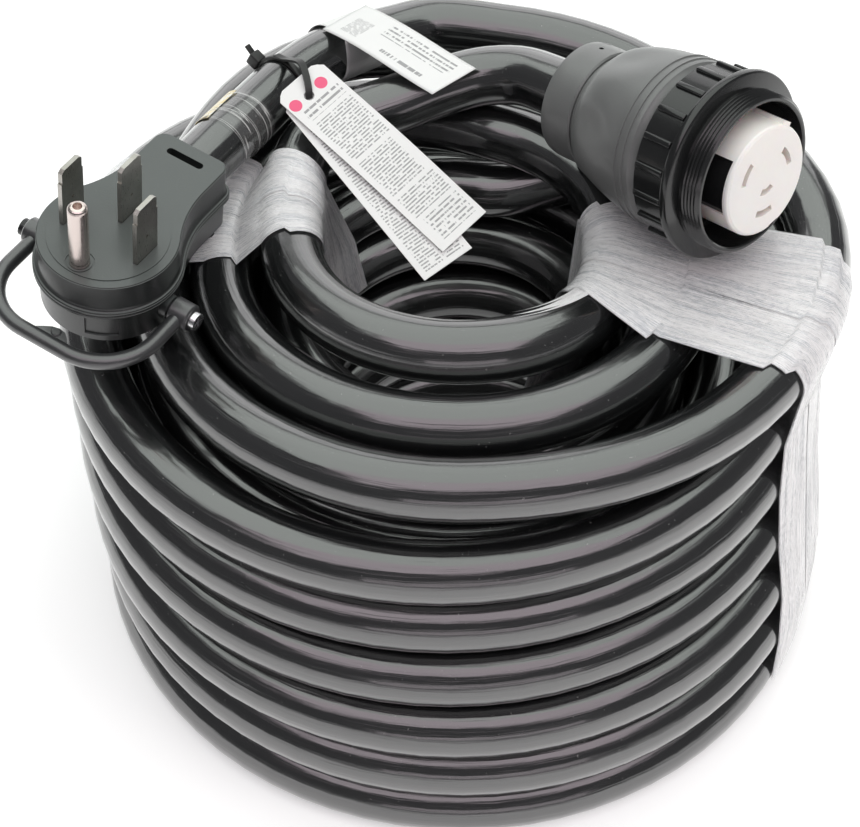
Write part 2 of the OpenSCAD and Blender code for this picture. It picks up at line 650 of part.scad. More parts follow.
// Split ring in a groove of the nose, which keeps the lock ring on.
retainer_out = 26.7;
module ring_retainer() {
    color("silver") in_connector() translate([0, 0, retainer_back]) difference() {
        cylinder(h = retainer_t, r = retainer_out);
        translate([0, 0, -1]) cylinder(h = 4, r = nose_r - 0.7);
        translate([0, -1, -1]) cube([40, 2, 4]);
    }
}
// Lock ring: a ribbed band for the hand, a flange, and an outside thread on its skirt.
band_front = -13.5;
flange_front = -9.5;
skirt_r = 29.6;
thread_pitch = 1.5;
thread_count = 5;
rib_w = 2.6;
rib_out = 1.3;
rib_start = 2;
retainer_face = -25.3;
module lock_ring() {
    color([0.09, 0.095, 0.1]) in_connector() {
        difference() {
            union() {
                translate([0, 0, band_back]) cylinder(h = band_front - band_back, r = band_r, $fn = 96);
                translate([0, 0, band_front]) cylinder(h = 1, r = flange_r - 2.2, $fn = 96);
                translate([0, 0, band_front + 1])
                    cylinder(h = flange_front - band_front - 1.6, r = flange_r, $fn = 96);
                translate([0, 0, flange_front - 0.6]) cylinder(h = 0.6, r = flange_r - 0.7, $fn = 96);
                translate([0, 0, flange_front])
                    cylinder(h = -flange_front - 0.8, r = skirt_r - 0.5, $fn = 96);
                translate([0, 0, -0.8]) cylinder(h = 0.8, r = skirt_r - 1.2, $fn = 96);
                for (i = [0:thread_count - 1]) translate([0, 0, flange_front + 1.2 + i * thread_pitch])
                    cylinder(h = thread_pitch / 2, r = skirt_r, $fn = 96);
                for (i = [0:rib_count - 1]) rotate(rib_start + 360 * i / rib_count)
                    translate([band_r - 1, -rib_w / 2, band_back + 0.6])
                        cube([rib_out + 1, rib_w, band_front - band_back - 1.6]);
            }
            translate([0, 0, retainer_face]) cylinder(h = 40, r = mouth_r, $fn = 96);
            translate([0, 0, band_back - 1]) cylinder(h = 10, r = nose_r + ring_clearance, $fn = 96);
        }
    }
}

// ---- Tie, tags and labels ----
tie_at = place + [-67, 77, 166];
tie_dir = unit([13, 18, -3]);
tie_w = 4.8;
tie_t = 1.3;
tie_head = 8;
function slope_of(d) = acos(d[2]);
function heading_of(d) = atan2(d[1], d[0]);
module cable_tie() {
    color([0.06, 0.06, 0.06]) translate(tie_at) rotate([0, slope_of(tie_dir), heading_of(tie_dir)]) {
        translate([0, 0, -tie_w / 2]) difference() {
            cylinder(h = tie_w, r = cord_r + 0.5 + tie_t);
            translate([0, 0, -1]) cylinder(h = tie_w + 2, r = cord_r + 0.5);
        }
        rotate(115) translate([cord_r + 0.5 + tie_t / 2, -tie_head / 2, -tie_head / 2])
            cube([5.5, tie_head, tie_head]);
    }
}
// A tag is a plate with a punched corner, laid on its own plane.
tag_hole_r = 2;
tag_hole_at = [8.4, 9.8];
module tag_plate(len, wide) {
    linear_extrude(tag_t) difference() {
        polygon([[3, 0], [len, 0], [len, wide], [3, wide], [0, wide - 3], [0, 3]]);
        translate(tag_hole_at) circle(r = tag_hole_r, $fn = 24);
    }
}
front_tag_at = place + [-68.2, 54, 180.5];
front_tag_turn = [13, 16, -42];
rear_tag_drop = 1.4;
rear_tag_turn = -8;
rear_tag_slip = 3.5;
module on_tag_plane() {
    rotate([0, 0, front_tag_turn[2]]) rotate([front_tag_turn[0], front_tag_turn[1], 0]) children();
}
module front_tag() {
    color([0.95, 0.95, 0.94]) translate(front_tag_at) on_tag_plane() tag_plate(tag_len, tag_w);
}
module rear_tag() {
    color([0.95, 0.95, 0.94]) translate(front_tag_at - [0, 0, rear_tag_drop]) on_tag_plane()
        translate([rear_tag_slip, 0, 0]) rotate([0, 0, rear_tag_turn]) tag_plate(tag_len, tag_w - 1);
}
// Label wrapped round the plug lead, with its free flag lying over the cord.
label_at = place + [-43.2, 107, 159.95];
label_dir = unit([14, 13.6, -4.2]);
label_len = 22;
label_space = 0.9;
flag_at = place + [-52, 101, 174.15];
flag_turn = [0, -9, -49];
flag_len = 66;
flag_w = 22;
module cord_label() {
    color([0.95, 0.95, 0.94]) {
        translate(label_at) rotate([0, slope_of(label_dir), heading_of(label_dir)])
            translate([0, 0, -label_len / 2]) difference() {
                cylinder(h = label_len, r = cord_r + label_space + tag_t);
                translate([0, 0, -1]) cylinder(h = label_len + 2, r = cord_r + label_space);
            }
        translate(flag_at) rotate(flag_turn) cube([flag_len, flag_w, tag_t]);
    }
}
// Strip of foil stuck round the lead near the plug.
foil_at = place + [-83.9, 48.4, 169.25];
foil_dir = unit([8.8, 15, -1.2]);
foil_len = 20;
foil_space = 0.6;
module foil_label() {
    color([0.85, 0.75, 0.5]) translate(foil_at) rotate([0, slope_of(foil_dir), heading_of(foil_dir)])
        translate([0, 0, -foil_len / 2]) difference() {
            cylinder(h = foil_len, r = cord_r + foil_space + 0.3);
            translate([0, 0, -1]) cylinder(h = foil_len + 2, r = cord_r + foil_space);
        }
}

// ---- Stretch film ----
// Each band is wound through the hole and down the wall. Its section touches chosen turns:
// [travel of the turn less the compass angle, contact angle from outwards, spread of compass
// angles, shift of their middle].
film_r = cord_r + film_gap;
right_touch = concat(
    [[19 * turn, 180, 64, 0], [20 * turn, 180, 64, 0]],
    [for (a = [180:-60:60]) [22 * turn, a, 64, 0]],
    [for (a = [120, 60]) [21 * turn, a, 42, 0]],
    [for (a = [120, 60, 0]) [0, a, 24, 0]],
    [for (n = [1:5]) [n * turn, 0, 24, 0]],
    [[6 * turn, -10, 24, 0]]);
// The left band crosses the last turn where it goes over into the connector's lead. Their centres:
// [compass angle, radius], and [compass angle, height].
lead_column = -1;
lead_starts = 275;
lead_radius = [[275, 62], [286, 63.6], [295, 66.2], [300, 68.2], [305.5, 68.8], [315.3, 67.5], [320.6, 65.7]];
lead_height = [[275, 157], [297, 156.9], [305.5, 158.5], [315.3, 160], [320.6, 161]];
left_touch = concat(
    [[19 * turn, 180, 60, 14], [20 * turn, 180, 60, 14]],
    [for (a = [180:-30:30]) [lead_column, a, 40, -6]],
    [for (a = [120, 60]) [21 * turn, a, 37, 0]],
    [for (a = [120, 60]) [0, a, 30, 3]],
    [for (a = [60, 0]) [turn, a, 30, 4]],
    [for (n = [2:5]) [n * turn, 0, 30, 4]],
    [[5 * turn, -10, 30, 4]]);
function film_centre(travel, a) =
    travel != lead_column ? cord_at(travel + a)
    : a < lead_starts ? cord_at(22 * turn + a)
    : place + [lookup(a, lead_radius) * sin(a), 11 + lookup(a, lead_radius) * cos(a), lookup(a, lead_height)];
// The last turn climbs steeply, so the band stands further off it.
climb_space = 0.45;
function film_point(touch, a, out) =
    let (r = film_r + out + (touch[0] == 22 * turn || touch[0] == lead_column ? climb_space : 0))
    film_centre(touch[0], a) + r * (cos(touch[1]) * [sin(a), cos(a), 0] + [0, 0, sin(touch[1])]);
module film_band(touches, middle, steps) {
    n = len(touches);
    grid = [for (out = [0, film_t], i = [0:steps], k = [0:n - 1]) let (t = touches[k])
        film_point(t, middle + t[3] + t[2] * (i / steps - 0.5), out)];
    half = (steps + 1) * n;
    inner = [for (i = [0:steps - 1], k = [0:n - 2]) let (a = i * n + k)
        each [[a, a + n, a + 1], [a + 1, a + n, a + n + 1]]];
    outer = [for (f = inner) [f[0] + half, f[2] + half, f[1] + half]];
    side_a = [for (k = [0:n - 2]) each [[k, k + 1, k + half], [k + 1, k + 1 + half, k + half]]];
    last = steps * n;
    side_b = [for (k = [0:n - 2]) each
        [[last + k, last + k + half, last + k + 1], [last + k + 1, last + k + half, last + k + 1 + half]]];
    end_a = [for (i = [0:steps - 1]) let (a = i * n)
        each [[a, a + half, a + n], [a + n, a + half, a + n + half]]];
    end_b = [for (i = [0:steps - 1]) let (a = i * n + n - 1)
        each [[a, a + n, a + half], [a + n, a + n + half, a + half]]];
    polyhedron(points = grid, faces = concat(inner, outer, side_a, side_b, end_a, end_b), convexity = 10);
}
module film_left() { color([0.85, 0.88, 0.92]) film_band(left_touch, 278, 7); }
module film_right() { color([0.85, 0.88, 0.92]) film_band(right_touch, 110.5, 11); }

cord_coil();
plug_lead();
connector_lead();
plug_front_cover();
plug_rear_cover();
plug_face();
line_blades();
neutral_blade();
ground_pin();
blade_clamps();
clamp_screws();
plug_cover_screws();
plug_cord_clamp();
plug_conductors();
bail();
bail_screws();
connector_housing();
connector_grip();
grip_screws();
cord_grommet();
contact_carrier();
carrier_window();
line_contacts();
neutral_contact();
ground_contact();
contact_screws();
connector_conductors();
face_gasket();
ring_retainer();
lock_ring();
cable_tie();
front_tag();
rear_tag();
cord_label();
foil_label();
film_left();
film_right();
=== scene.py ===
"""Shore power cord: the dressed model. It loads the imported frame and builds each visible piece
round it, in the order in which the real cord set is made, coiled, wrapped and tagged."""

import math

import bmesh
import bpy
import numpy as np
from mathutils import Matrix, Vector


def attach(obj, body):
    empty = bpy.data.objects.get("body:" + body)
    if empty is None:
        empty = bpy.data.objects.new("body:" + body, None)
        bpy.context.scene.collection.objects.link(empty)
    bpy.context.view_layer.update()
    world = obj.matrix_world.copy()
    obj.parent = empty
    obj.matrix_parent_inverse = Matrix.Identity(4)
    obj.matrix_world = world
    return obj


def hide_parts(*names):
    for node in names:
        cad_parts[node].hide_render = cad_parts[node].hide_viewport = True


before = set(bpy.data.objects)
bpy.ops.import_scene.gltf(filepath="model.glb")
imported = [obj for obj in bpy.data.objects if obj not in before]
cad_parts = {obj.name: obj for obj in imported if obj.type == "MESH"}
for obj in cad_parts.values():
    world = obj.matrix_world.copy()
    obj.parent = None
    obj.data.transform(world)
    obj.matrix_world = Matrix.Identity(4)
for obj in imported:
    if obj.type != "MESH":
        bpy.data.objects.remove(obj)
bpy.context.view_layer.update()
scene = bpy.context.scene

# ---- Camera ----
# The coil is seen from its front, fifty degrees above the floor, from nearly a metre away. Sizes
# are in millimetres and angles in degrees, and place is where the coil's centre stands.
mm = 0.001
place = np.array([10.2, 2.3, 0.0])
camera_rise = 50.0
camera_distance = 900.0
camera_target = place + [-10, 0, 61]
camera_lens = 94.2
tilt = math.radians(camera_rise)
camera_back = Vector((0, -math.cos(tilt), math.sin(tilt)))
camera = bpy.data.objects.new("camera", bpy.data.cameras.new("camera"))
scene.collection.objects.link(camera)
camera.data.lens = camera_lens
camera.location = (Vector(camera_target) + camera_back * camera_distance) * mm
camera.rotation_euler = camera_back.to_track_quat("Z", "Y").to_euler()
scene.camera = camera

# ---- Cord ----
# A round flexible cord: four stranded conductors in one thick glossy black jacket. It runs from the
# plug's neck, down onto the pile, through every turn of the coil and up to the connector's grip.
cord_d = 22.7
cord_r = cord_d / 2
lay_gap = 0.6
pitch = cord_d + lay_gap
floor_z = cord_r - cord_d / 10
column_step = pitch + 1.5
wall_r = 133
column_b = wall_r - column_step
column_c = column_b - column_step
column_d = column_c - column_step
# Travel along the coil, at which each column of turns starts and ends.
turn = 360
travel_start = 10
wall_end = 6 * turn + 262
b_start = wall_end + 40
b_end = 11 * turn + 60
c_start = b_end + 45
c_end = 16 * turn + 44
d_start = c_end + 45
d_end = 21 * turn + 20
last_turn = 22 * turn
travel_end = last_turn + 275
# In each turn of the wall the cord drops to the next level between these two places.
drop_start = 285
drop_end = 345


def level(k):
    """The height of a turn's centre, k turns up from the lowest."""
    return floor_z + k * pitch


inner_top = level(5) - 1.1
core_top = level(5) - 1.4
# Height and radius: [travel, value, steady], steady being 1 where the value changes evenly.
wall_keys = [
    [(6 - k) * turn + (drop_end + 3 * k if lower else drop_start), level(k - lower), 0]
    for k in range(5, 0, -1)
    for lower in (0, 1)
]
height_keys = [
    [0, 151, 0], [40, 149.6, 0], [90, 149.6, 0], [120, 151, 0], [180, 154, 0], [265, 138, 0],
    [310, 140, 0], [375, level(5), 0], *wall_keys,
    [b_start, floor_z, 0], [b_end, inner_top, 1], [c_start, inner_top, 0], [c_end, floor_z, 1],
    [d_start, floor_z, 0], [d_end, core_top, 1], [d_end + 4, core_top, 0], [d_end + 60, 148.5, 0],
    [21 * turn + 180, 156, 0], [21 * turn + 275, 142, 0], [21 * turn + 330, 142, 0],
    [last_turn + 20, 150.6, 0], [last_turn + 95, 150.2, 0], [last_turn + 180, 168, 0],
    [travel_end, 157, 0],
]  # fmt: skip
radius_keys = [
    [0, 117, 0], [40, 119, 0], [90, 135, 0], [180, 123, 0], [265, 109, 0], [290, 110, 0],
    [350, wall_r, 0], [wall_end, wall_r, 0], [b_start, column_b, 0], [b_end, column_b, 0],
    [c_start, column_c, 0], [c_end, column_c, 0], [d_start, column_d, 0], [d_end - 4, column_d, 0],
    [d_end + 36, 84, 0], [21 * turn + 180, 97, 0], [21 * turn + 275, 86, 0],
    [21 * turn + 320, 86, 0], [last_turn + 20, column_d, 0], [last_turn + 90, column_d, 0],
    [last_turn + 180, 73, 0], [last_turn + 270, 62, 0],
]  # fmt: skip
# The pile's lean: [height, shift].
lean_x = [[34, 2], [80, -3], [125, -6], [150, 0]]
lean_y = [[20, -13], [57, -10], [80, -3], [103, 4], [125, 7.5], [150, 11]]


def keyed(keys, t):
    """The value at t: an even climb where the key says steady, and an eased one elsewhere."""
    if t <= keys[0][0]:
        return keys[0][1]
    for (a, low, _), (b, high, steady) in zip(keys, keys[1:]):
        if t <= b:
            s = (t - a) / (b - a)
            return low + (high - low) * (s if steady else s * s * (3 - 2 * s))
    return keys[-1][1]


def lookup(t, table):
    return float(np.interp(t, *zip(*table)))


def cord_at(t):
    """The cord's centre at travel t, counted clockwise from the back, seen from above."""
    z, r = keyed(height_keys, t), keyed(radius_keys, t)
    a = math.radians(t)
    return place + [lookup(z, lean_x) + r * math.sin(a), lookup(z, lean_y) + r * math.cos(a), z]


def unit(v):
    return np.array(v, float) / np.linalg.norm(v)


def moved(x=0, y=0, z=0):
    return Matrix.Translation((x, y, z))


def turned(x=0, y=0, z=0):
    """Rotation by angles about X, then Y, then Z."""
    about = [Matrix.Rotation(math.radians(a), 4, axis) for a, axis in zip((x, y, z), "XYZ")]
    return about[2] @ about[1] @ about[0]


plug_at = place + [-122.8, -22.9, 186.2]
plug_frame = moved(*plug_at) @ turned(5.6, 1.1, 58.5)
connector_at = place + [103.3, -8.1, 200.2]
connector_frame = moved(*connector_at) @ turned(0, 78.3, -46)
neck_end = 53
grip_back = -84
lead_y = 2.5
lead_depth = 15.5


def plug_point(x, y, z):
    return np.array(plug_frame @ Vector((x, y, z)))


def connector_point(x, y, z):
    return np.array(connector_frame @ Vector((x, y, z)))


plug_lead_path = [
    *(plug_point(neck_end + x, lead_y, -lead_depth) for x in (0, 12, 24)),
    *(place + p for p in [[-78, 58.5, 168], [-67, 77, 166], [-54, 95, 163], [-40, 110, 159],
                          [-25, 121.5, 154.5], [-12, 129, 152]]),
]  # fmt: skip
end_dir = unit(cord_at(travel_end) - cord_at(travel_end - 1))
connector_lead_path = [
    cord_at(travel_end) + end_dir * cord_d,
    *(place + p for p in [[-56, 51, 158.5], [-47.5, 59, 160], [-36, 64.5, 162], [-22, 69, 164.5],
                          [-6, 73.4, 168.6], [10, 75, 172.6], [24, 71.4, 176.3]]),
    connector_point(0, 0, grip_back - 14),
    connector_point(0, 0, grip_back + 4),
]  # fmt: skip


def through(points, step=4.0):
    """A smooth line through points, with each point's direction from the chords beside it."""
    p = np.array(points, float)
    chord = np.linalg.norm(np.diff(p, axis=0), axis=1)[:, None]
    slope = np.diff(p, axis=0) / chord
    inner = (slope[:-1] * chord[1:] + slope[1:] * chord[:-1]) / (chord[:-1] + chord[1:])
    tangent = np.vstack([slope[:1], inner, slope[-1:]])
    line = []
    for i, length in enumerate(chord[:, 0]):
        n = max(1, round(length / step))
        for k in range(n):
            s = k / n
            ends = (2 * s**3 - 3 * s**2 + 1) * p[i] + (3 * s**2 - 2 * s**3) * p[i + 1]
            pull = (s**3 - 2 * s**2 + s) * tangent[i] + (s**3 - s**2) * tangent[i + 1]
            line.append(ends + pull * length)
    return [*line, p[-1]]


coil_step = 5
join_clear = 2
first_few = 12
coil_line = [cord_at(t) for t in np.arange(travel_start, travel_end + 0.1, coil_step)]
# The leads run through the coil's own ends. Their points that lie back over it are left out, which
# on the way out can only be among the first few.
lead_in = through([*plug_lead_path, coil_line[0], coil_line[2]])
lead_in = [p for p in lead_in if p[0] < coil_line[0][0] - join_clear]
lead_out = through([coil_line[-2], coil_line[-1], *connector_lead_path])
past_end = coil_line[-1][1] + join_clear
lead_out = [p for i, p in enumerate(lead_out) if p[1] > past_end or i > first_few]
cord_line = np.array([*lead_in, *coil_line, *lead_out])


def shade(made, smooth_angle=35.0):
    made.data.shade_smooth()
    made.data.set_sharp_from_angle(angle=math.radians(smooth_angle))
    return made


def add_mesh(name, points, faces, matrix=None, smooth_angle=35.0):
    """A mesh object from points in millimetres and faces, in a frame of its own if given one."""
    mesh = bpy.data.meshes.new(name)
    mesh.from_pydata([tuple(p) for p in points], [], [tuple(f) for f in faces])
    if matrix is not None:
        mesh.transform(matrix)
    mesh.transform(Matrix.Scale(mm, 4))
    made = bpy.data.objects.new(name, mesh)
    scene.collection.objects.link(made)
    return shade(made, smooth_angle)


def mark_points(made, name, values):
    """Stores a vector at each point of a piece, for its finish to read."""
    stored = made.data.attributes.new(name, "FLOAT_VECTOR", "POINT")
    stored.data.foreach_set("vector", np.asarray(values).astype(np.float32).ravel())


def grid_faces(rows, columns, closed=False, flipped=False):
    """Faces between rows of points. Closed joins each row's end to its start."""
    faces = []
    for i in range(rows - 1):
        for k in range(columns if closed else columns - 1):
            a, b = i * columns + k, i * columns + (k + 1) % columns
            c, d = b + columns, a + columns
            faces.append((a, d, c, b) if flipped else (a, b, c, d))
    return faces


def headings(line):
    """The direction of a line at each of its points."""
    along = np.gradient(line, axis=0)
    return along / np.linalg.norm(along, axis=1, keepdims=True)


def run_along(line):
    """The distance along a line to each of its points."""
    return np.concatenate([[0], np.cumsum(np.linalg.norm(np.diff(line, axis=0), axis=1))])


def tube_shape(line, radius, sides, lowest=None):
    """Points and faces of a closed tube along a line that is nowhere upright."""
    line = np.array(line, float)
    heading = headings(line)
    level_side = np.cross(heading, [0, 0, 1.0])
    level_side /= np.linalg.norm(level_side, axis=1, keepdims=True)
    rise = np.cross(level_side, heading)
    a = (np.arange(sides) * 2 * math.pi / sides)[None, :, None]
    points = line[:, None] + radius * (np.cos(a) * level_side[:, None] + np.sin(a) * rise[:, None])
    if lowest is not None:
        points[..., 2] = np.maximum(points[..., 2], lowest)
    start = tuple(reversed(range(sides)))
    end = tuple(range((len(line) - 1) * sides, len(line) * sides))
    return points.reshape(-1, 3), [*grid_faces(len(line), sides, closed=True), start, end]


class Flow:
    """A value or colour in a material. Sums, products and comparisons of flows add Math nodes."""

    def __init__(self, tree, output):
        self.tree = tree
        self.output = output

    def maths(self, operation, *values):
        settings = {"operation": operation}
        return add_node(self.tree, "ShaderNodeMath", settings, dict(enumerate(values)))

    def __add__(self, other):
        return self.maths("ADD", self, other)

    def __sub__(self, other):
        return self.maths("SUBTRACT", self, other)

    def __rsub__(self, other):
        return self.maths("SUBTRACT", other, self)

    def __mul__(self, other):
        return self.maths("MULTIPLY", self, other)

    def __truediv__(self, other):
        return self.maths("DIVIDE", self, other)

    def __rtruediv__(self, other):
        return self.maths("DIVIDE", other, self)

    def __gt__(self, other):
        return self.maths("GREATER_THAN", self, other)

    def __lt__(self, other):
        return self.maths("LESS_THAN", self, other)

    __radd__, __rmul__ = __add__, __mul__

    def floor(self):
        return self.maths("FLOOR", self)

    def fract(self):
        return self.maths("FRACT", self)

    def at_least(self, other):
        return self.maths("MAXIMUM", self, other)


def feed(socket, value):
    """Links a flow to a socket, or gives the socket a value of its own."""
    if isinstance(value, Flow):
        value.tree.links.new(value.output, socket)
    else:
        socket.default_value = value


def add_node(tree, kind, settings=None, sockets=None, out=0):
    """The one way a node is made: its type, then its settings, then its values and links."""
    made = tree.nodes.new(kind)
    for key, value in (settings or {}).items():
        if key == "stops":
            while len(made.color_ramp.elements) < len(value):
                made.color_ramp.elements.new(1)
            for element, (position, colour) in zip(made.color_ramp.elements, value):
                element.position = position
                element.color = colour if hasattr(colour, "__len__") else (colour,) * 3 + (1,)
        else:
            setattr(made, key, value)
    for key, value in (sockets or {}).items():
        feed(made.inputs[key], value)
    return Flow(tree, made.outputs[out])


class Finish:
    """A material under way: its shader's own values, and the flows that vary it."""

    def __init__(self, name, **values):
        self.material = bpy.data.materials.new(name)
        self.material.use_nodes = True
        self.tree = self.material.node_tree
        self.shader = self.tree.nodes["Principled BSDF"]
        for key, value in values.items():
            self.set(key.replace("_", " ").title().replace("Ior", "IOR"), value)

    def node(self, kind, settings=None, sockets=None, out=0):
        return add_node(self.tree, kind, settings, sockets, out)

    def set(self, socket, value):
        is_colour = hasattr(value, "__len__") and len(value) == 3
        feed(self.shader.inputs[socket], (*value, 1) if is_colour else value)

    def spot(self):
        """Where a point is on its piece, in millimetres."""
        return self.scaled(self.node("ShaderNodeTexCoord", out=3), (1 / mm,) * 3)

    def laid(self, matrix):
        """Where a point is in a piece's own frame, in millimetres."""
        origin, turn_by, _ = matrix.decompose()
        sockets = {0: self.spot(), 1: origin, 2: turn_by.to_euler()}
        return self.node("ShaderNodeMapping", {"vector_type": "TEXTURE"}, sockets)

    def split(self, vector, axis):
        return self.node("ShaderNodeSeparateXYZ", {}, {0: vector}, out=axis)

    def scaled(self, vector, factors):
        settings = {"operation": "MULTIPLY"}
        return self.node("ShaderNodeVectorMath", settings, {0: vector, 1: factors})

    def named(self, attribute):
        return self.node("ShaderNodeAttribute", {"attribute_name": attribute}, out=1)

    def noise(self, vector, scale, detail=3.0, roughness=0.5):
        """Noise of one scale, or of a scale along each axis, in cells per millimetre."""
        if hasattr(scale, "__len__"):
            vector, scale = self.scaled(vector, scale), 1.0
        sockets = {"Vector": vector, "Scale": scale, "Detail": detail, "Roughness": roughness}
        return self.node("ShaderNodeTexNoise", {}, sockets)

    def ramp(self, value, *stops):
        """A value or colour from a ramp of (position, value or colour)."""
        return self.node("ShaderNodeValToRGB", {"stops": stops}, {0: value})

    def mix(self, factor, first, second):
        """A colour from first to second by factor."""
        ends = [c if isinstance(c, Flow) else (*c, 1) for c in (first, second)]
        sockets = {0: factor, 6: ends[0], 7: ends[1]}
        return self.node("ShaderNodeMix", {"data_type": "RGBA"}, sockets, out=2)

    def bump(self, height, distance):
        """Raises the surface by height times distance, in metres."""
        sockets = {"Height": height, "Distance": distance}
        self.set("Normal", self.node("ShaderNodeBump", {}, sockets))

    def cloud(self, noise, dark, light, rough, change):
        """Colour from dark to light by a noise, and roughness that rises with it by a change."""
        self.set("Base Color", self.mix(noise, dark, light))
        self.set("Roughness", rough + noise * change)

    def roughen(self, rough, change, scale, detail=3.0):
        """Roughness that rises here and there by a change, over noise of a scale."""
        self.set("Roughness", rough + self.noise(self.spot(), scale, detail) * change)


def dress(made, finish, body="cord_set"):
    """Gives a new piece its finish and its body."""
    made.data.materials.clear()
    made.data.materials.append(finish.material)
    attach(made, body)
    return made


cord_sides = 32
cord = add_mesh("cord", *tube_shape(cord_line, cord_r, cord_sides, lowest=0), smooth_angle=60)
run = run_along(cord_line)
ring_a = np.arange(cord_sides) * 2 * math.pi / cord_sides
mark_points(cord, "skin", np.stack([
    np.repeat(run, cord_sides),
    np.tile(cord_r * np.cos(ring_a), len(run)),
    np.tile(cord_r * np.sin(ring_a), len(run)),
], axis=1))  # fmt: skip

jacket_black = (0.005, 0.0055, 0.006)
jacket_cloud = (0.011, 0.012, 0.012)
scuff_grey = (0.26, 0.26, 0.25)
jacket = Finish("glossy_black_jacket", specular_ior_level=1.0, ior=1.6, coat_weight=1.0,
                coat_ior=1.6, coat_roughness=0.07)  # fmt: skip
skin = jacket.named("skin")
drawn = jacket.noise(skin, (0.02, 0.5, 0.5), 2)
cloudy = jacket.noise(skin, 0.045)
grain = jacket.noise(skin, 2.4, 2)
speck = jacket.ramp(jacket.noise(skin, 0.9, 1), (0.0, 0), (0.755, 0), (0.79, 1))
scuffed = jacket.noise(skin, (0.117, 0.65, 0.65), 5, 0.7)
scuff = jacket.ramp(scuffed, (0.0, 0), (0.66, 0), (0.78, 1))
tone = jacket.mix(cloudy, jacket_black, jacket_cloud)
jacket.set("Base Color", jacket.mix(speck * 0.55 + scuff * 0.1, tone, scuff_grey))
jacket.set("Roughness", 0.13 + cloudy * 0.08 + drawn * 0.08 + scuff * 0.2)
hairline = jacket.noise(skin, (0.03, 1.9, 1.9), 2)
jacket.bump(drawn * 0.8 + hairline * 0.12 + grain * 0.03 + cloudy * 1.2, 0.0003)
dress(cord, jacket)
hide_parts("cord_coil", "plug_lead", "connector_lead")

# ---- Plug covers ----
# Two moulded covers of charcoal plastic, screwed together along a ridged parting line: a round
# shell that runs through concave sides into a flat neck, with a strap slot across the neck.
face_r = 25.4
neck_half = 15.3
neck_corner = 4.5
join_a = 58.6
join_sin = math.sin(math.radians(join_a))
join_cos = math.cos(math.radians(join_a))
side_r = (face_r * join_sin - neck_half) / (1 - join_sin)
side_x = (face_r + side_r) * join_cos
side_y = (face_r + side_r) * join_sin
front_h = 13.5
rear_h = 17.3
parting_gap = 0.2


def arc(cx, cy, r, a0, a1, n):
    angles = np.radians(np.linspace(a0, a1, n + 1))
    return [(cx + r * math.cos(a), cy + r * math.sin(a)) for a in angles]


def cover_outline(inset):
    """The covers' outline, drawn in by inset."""
    corner = neck_corner - inset
    return [
        *arc(0, 0, face_r - inset, join_a, 360 - join_a, 72),
        *arc(side_x, -side_y, side_r + inset, 180 - join_a, 90, 14)[1:],
        *arc(neck_end - neck_corner, -(neck_half - neck_corner), corner, -90, 0, 6),
        *arc(neck_end - neck_corner, neck_half - neck_corner, corner, 0, 90, 6),
        *arc(side_x, side_y, side_r + inset, -90, -180 + join_a, 14)[:-1],
    ]


def rounded(inset0, z0, inset1, z1, hollow=False, n=4):
    """Steps of a quarter round, or a hollow one, from one (inset, height) to another."""
    steps = []
    for i in range(n + 1):
        a = math.pi / 2 * i / n
        s, c = math.sin(a), 1 - math.cos(a)
        in_by, up_by = (c, s) if hollow else (s, c)
        steps.append((inset0 + (inset1 - inset0) * in_by, z0 + (z1 - z0) * up_by))
    return steps


def loft_shape(levels, outline):
    """A closed body through an outline drawn in by each level's inset, at each level's height."""
    rings = [[(x, y, z) for x, y in outline(inset)] for inset, z in levels]
    n = len(rings[0])
    sides = grid_faces(len(rings), n, closed=True, flipped=True)
    ends = [tuple(range(n)), tuple(reversed(range((len(rings) - 1) * n, len(rings) * n)))]
    return [p for points in rings for p in points], [*sides, *ends]


def lathe_shape(profile, steps=96, waver=None):
    """Points and faces of a profile of (radius, height) turned about Z."""
    points = []
    for radius, z in profile:
        for k in range(steps):
            a = 2 * math.pi * k / steps
            r = radius + (waver(a, radius, z) if waver else 0)
            points.append((r * math.cos(a), r * math.sin(a), z))
    return points, grid_faces(len(profile), steps, closed=True)


def disc_shape(radius, z0, z1, edge=0.5, steps=48):
    """Points and faces of a round body with softened rims."""
    flat = radius - edge
    rims = [(flat, z0), (radius, z0 + edge), (radius, z1 - edge), (flat, z1)]
    return lathe_shape([(0.001, z0), *rims, (0.001, z1)], steps)


def shifted(shape, matrix):
    points, faces = shape
    return [tuple(matrix @ Vector(p)) for p in points], faces


def together(*shapes):
    """Several shapes as one list of points and faces."""
    points, faces = [], []
    for some, their in shapes:
        faces += [tuple(i + len(points) for i in f) for f in their]
        points += [tuple(p) for p in some]
    return points, faces


def cut(made, cutter, smooth_angle=35.0):
    """Cuts a body out of a piece, and removes it."""
    work = made.modifiers.new("cut", "BOOLEAN")
    work.object, work.operation, work.solver = cutter, "DIFFERENCE", "EXACT"
    bpy.context.view_layer.update()
    seen = made.evaluated_get(bpy.context.evaluated_depsgraph_get())
    mesh = bpy.data.meshes.new_from_object(seen)
    made.modifiers.clear()
    made.data = mesh
    bpy.data.objects.remove(cutter)
    return shade(made, smooth_angle)


